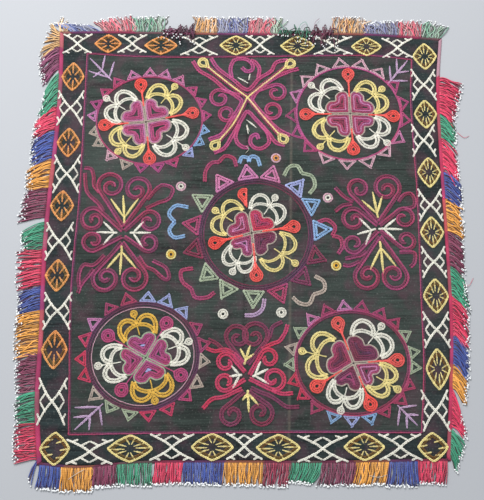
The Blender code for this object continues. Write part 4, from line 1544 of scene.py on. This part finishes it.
def strand_lines(side, chance):
    """Centre lines of a side's strands, two layers deep: from the band's edge outward, easing aside, then
    level with the floor. A folded one goes out first and then back over the band. Returns lines, dyes."""
    along, outward, length = side_ways(side)
    lines, dyes = [], []
    t = np.linspace(0.0, 1.0, STRAND_STEPS)
    # The second value mixes strands toward pale: real fading, and on the top side mostly painted glare.
    _, fade, scatter, waves, _, pitch = SIDES[side]
    # Painted shade: the lower layer is darkened by its tone and mixed toward wine, for the shade under the
    # upper strands.
    for low, tone, bled in LAYERS:
        for dye, start, end, reach1, drift1, reach2, drift2 in BLOCKS[side]:
            folded = reach1 < 0.0
            count = max(2, int((end - start) / (FOLD_APART * pitch if folded else pitch)))
            share = (np.arange(count) + 0.5) / count
            root = start + (end - start) * share + chance.normal(0.0, STRAND_STRAY[0], count)
            reach = reach1 + (reach2 - reach1) * share
            reach = reach * (STRAND_REACH - scatter * chance.uniform(0.0, 1.0, count) ** 1.5)
            drift = drift1 + (drift2 - drift1) * share
            drift = drift + chance.normal(0.0, STRAND_STRAY[1] * waves, count)
            base = curve_through(OUTLINE[side], np.clip(root / length, 0.002, 0.998)) - outward * 1.0
            wave = chance.normal(0.0, waves, (count, 1))
            wave = wave * np.sin(math.pi * t * chance.uniform(1.0, 2.6, (count, 1)))
            if not folded:
                aside = drift[:, None] * t[None, :] ** 1.5 + wave
                out = reach[:, None] * t[None, :]
                level = low + chance.uniform(0.0, 0.5, (count, 1))
                z = STRAND_ROOT + (level - STRAND_ROOT) * np.clip(t * 2.5, 0.0, 1.0)[None, :]
                z[:, -1] = 0.5 * (z[:, -1] + BEAD_RADIUS)
            else:
                crest = FOLD_CREST[0] + FOLD_CREST[1] * chance.uniform(0.0, 1.0, (count, 1)) ** 2.5
                aside = chance.normal(0.0, 5.0, (count, 1)) * t[None, :] ** 1.5 + 1.5 * wave
                over = reach * chance.uniform(*FOLD_REACH, count)
                out = 4.0 * crest * (t * (1.0 - t))[None, :] + over[:, None] * t[None, :] ** 2
                top = chance.uniform(*FOLD_TOP, (count, 1))
                z = FOLD_ROOT + (top - FOLD_ROOT) * (1.0 - (1.0 - t[None, :]) ** 2.2)
            x = base[:, 0, None] + outward[0] * out + along[0] * aside
            y = base[:, 1, None] + outward[1] * out + along[1] * aside
            lines.append(np.stack([x, y, np.broadcast_to(z, x.shape)], axis=-1))
            # Share toward pale: real fading, and on the top side mostly painted glare.
            fade_and_glare_share = (FOLD_FADE if folded else fade) * chance.uniform(*FADE_AND_GLARE_SPREAD, (count, 1))
            # Mixed toward wine by the layer's share: painted shade, strongest in the lower layer.
            own = linear(FRINGE_DYES[dye]) * (1.0 - bled) + linear(FRINGE_DYES["maroon"]) * bled
            own = own * (1.0 - fade_and_glare_share) + linear(FADE_AND_GLARE_PALE) * fade_and_glare_share
            shade = FOLD_TONE * tone if folded else tone
            dyes.append(own * shade * chance.uniform(*STRAND_TONE, (count, 1)))
    return np.concatenate(lines), np.concatenate(dyes)


def make_strands(name, lines, dyes, thick, material):
    """Tubes of four sides carried along the centre lines, thinner at the tip and closed by a face at each
    end. None goes below the floor."""
    run = unit(np.gradient(lines, axis=1))
    level = unit(np.cross(run, np.array([0.0, 0.0, 1.0])))
    upright = np.cross(level, run)
    sides = STRAND_SIDES
    turn = 2.0 * math.pi * (np.arange(sides) + 0.5) / sides
    taper = np.full(STRAND_STEPS, 1.0)
    taper[-1] = STRAND_TIP
    radius = 0.5 * thick[:, None] * taper[None, :]
    points = (
        lines[:, :, None, :]
        + level[:, :, None, :] * (np.cos(turn)[None, None, :, None] * radius[:, :, None, None])
        + upright[:, :, None, :] * (np.sin(turn)[None, None, :, None] * radius[:, :, None, None])
    )
    count = len(lines)
    quads = tube_quads(count, STRAND_STEPS, sides)
    first = np.arange(count)[:, None] * STRAND_STEPS * sides
    start_cap = first + np.array([3, 2, 1, 0])[None, :]
    end_cap = first + (STRAND_STEPS - 1) * sides + np.array([0, 1, 2, 3])[None, :]
    quads = np.vstack([quads, start_cap, end_cap])
    flat = points.reshape(-1, 3)
    place = to_frame(flat[:, 0], flat[:, 1], np.maximum(flat[:, 2], FLOOR_GAP))
    step = np.tile(np.repeat(np.arange(STRAND_STEPS), sides), count)
    around = np.tile(np.arange(sides), count * STRAND_STEPS)
    corners = np.stack([step[quads] * 0.9, around[quads] * 0.25], axis=-1).reshape(-1, 2)
    return quads_mesh(name, place, quads, material, np.repeat(dyes, STRAND_STEPS * sides, axis=0), corners)


def make_beads(side, lines, chance, material):
    """A small ball at each strand's tip: rings of a sphere, the first and last tiny and closed by faces."""
    rings, around = BEAD_RINGS, BEAD_AROUND
    tilt = np.linspace(BEAD_POLE, math.pi - BEAD_POLE, rings)
    turn = 2.0 * math.pi * np.arange(around) / around
    ball = np.stack([
        np.sin(tilt)[:, None] * np.cos(turn)[None, :],
        np.sin(tilt)[:, None] * np.sin(turn)[None, :],
        np.repeat(np.cos(tilt)[:, None], around, axis=1),
    ], axis=-1).reshape(-1, 3)
    radius = BEAD_RADIUS * chance.uniform(*STRAND_UNEVEN, len(lines))
    run = unit(lines[:, -1] - lines[:, -2])
    middle = lines[:, -1] + run * radius[:, None] * BEAD_SUNK
    middle[:, 2] = np.maximum(middle[:, 2], radius)
    points = middle[:, None, :] + ball[None] * radius[:, None, None]
    count = len(lines)
    quads = tube_quads(count, rings, around)
    first = np.arange(count)[:, None] * rings * around
    caps = [first + np.array(pick)[None, :] for pick in ([0, 3, 2, 1], [0, 5, 4, 3])]
    top = (rings - 1) * around
    caps += [first + top + np.array(pick)[None, :] for pick in ([0, 1, 2, 3], [0, 3, 4, 5])]
    quads = np.vstack([quads] + caps)[:, ::-1]
    flat = points.reshape(-1, 3)
    return quads_mesh("beads_" + side, to_frame(flat[:, 0], flat[:, 1], flat[:, 2]), quads, material)


twist_group = make_twist_group()
cord_material = make_thread_material("fringe silk", twist_group)
bead_material = make_bead_material()
band_material = make_thread_material("heading band", twist_group)
for seed, side in enumerate(("left", "top", "right", "bottom")):
    chance = np.random.default_rng(80 + seed)
    lines, dyes = strand_lines(side, chance)
    band = make_band(side, band_material)
    thick = chance.uniform(*STRAND_UNEVEN, len(lines)) * SIDES[side][4]
    strands = make_strands("strands_" + side, lines, dyes, thick, cord_material)
    beaded = lines[chance.uniform(0.0, 1.0, len(lines)) < BEADED]
    beads = make_beads(side, beaded, chance, bead_material)
    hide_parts("fringe_" + side)
    for piece in (band, strands, beads):
        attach(piece, "root")

names, thicks, places = zip(*LOOSE)
paths = np.stack([curve_through(points, np.linspace(0.0, 1.0, STRAND_STEPS)) for points in places])
dyes = np.stack([linear(FRINGE_DYES[dye]) for dye in names])
loose = make_strands("loose_threads", paths, dyes, np.array(thicks), cord_material)
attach(loose, "root")
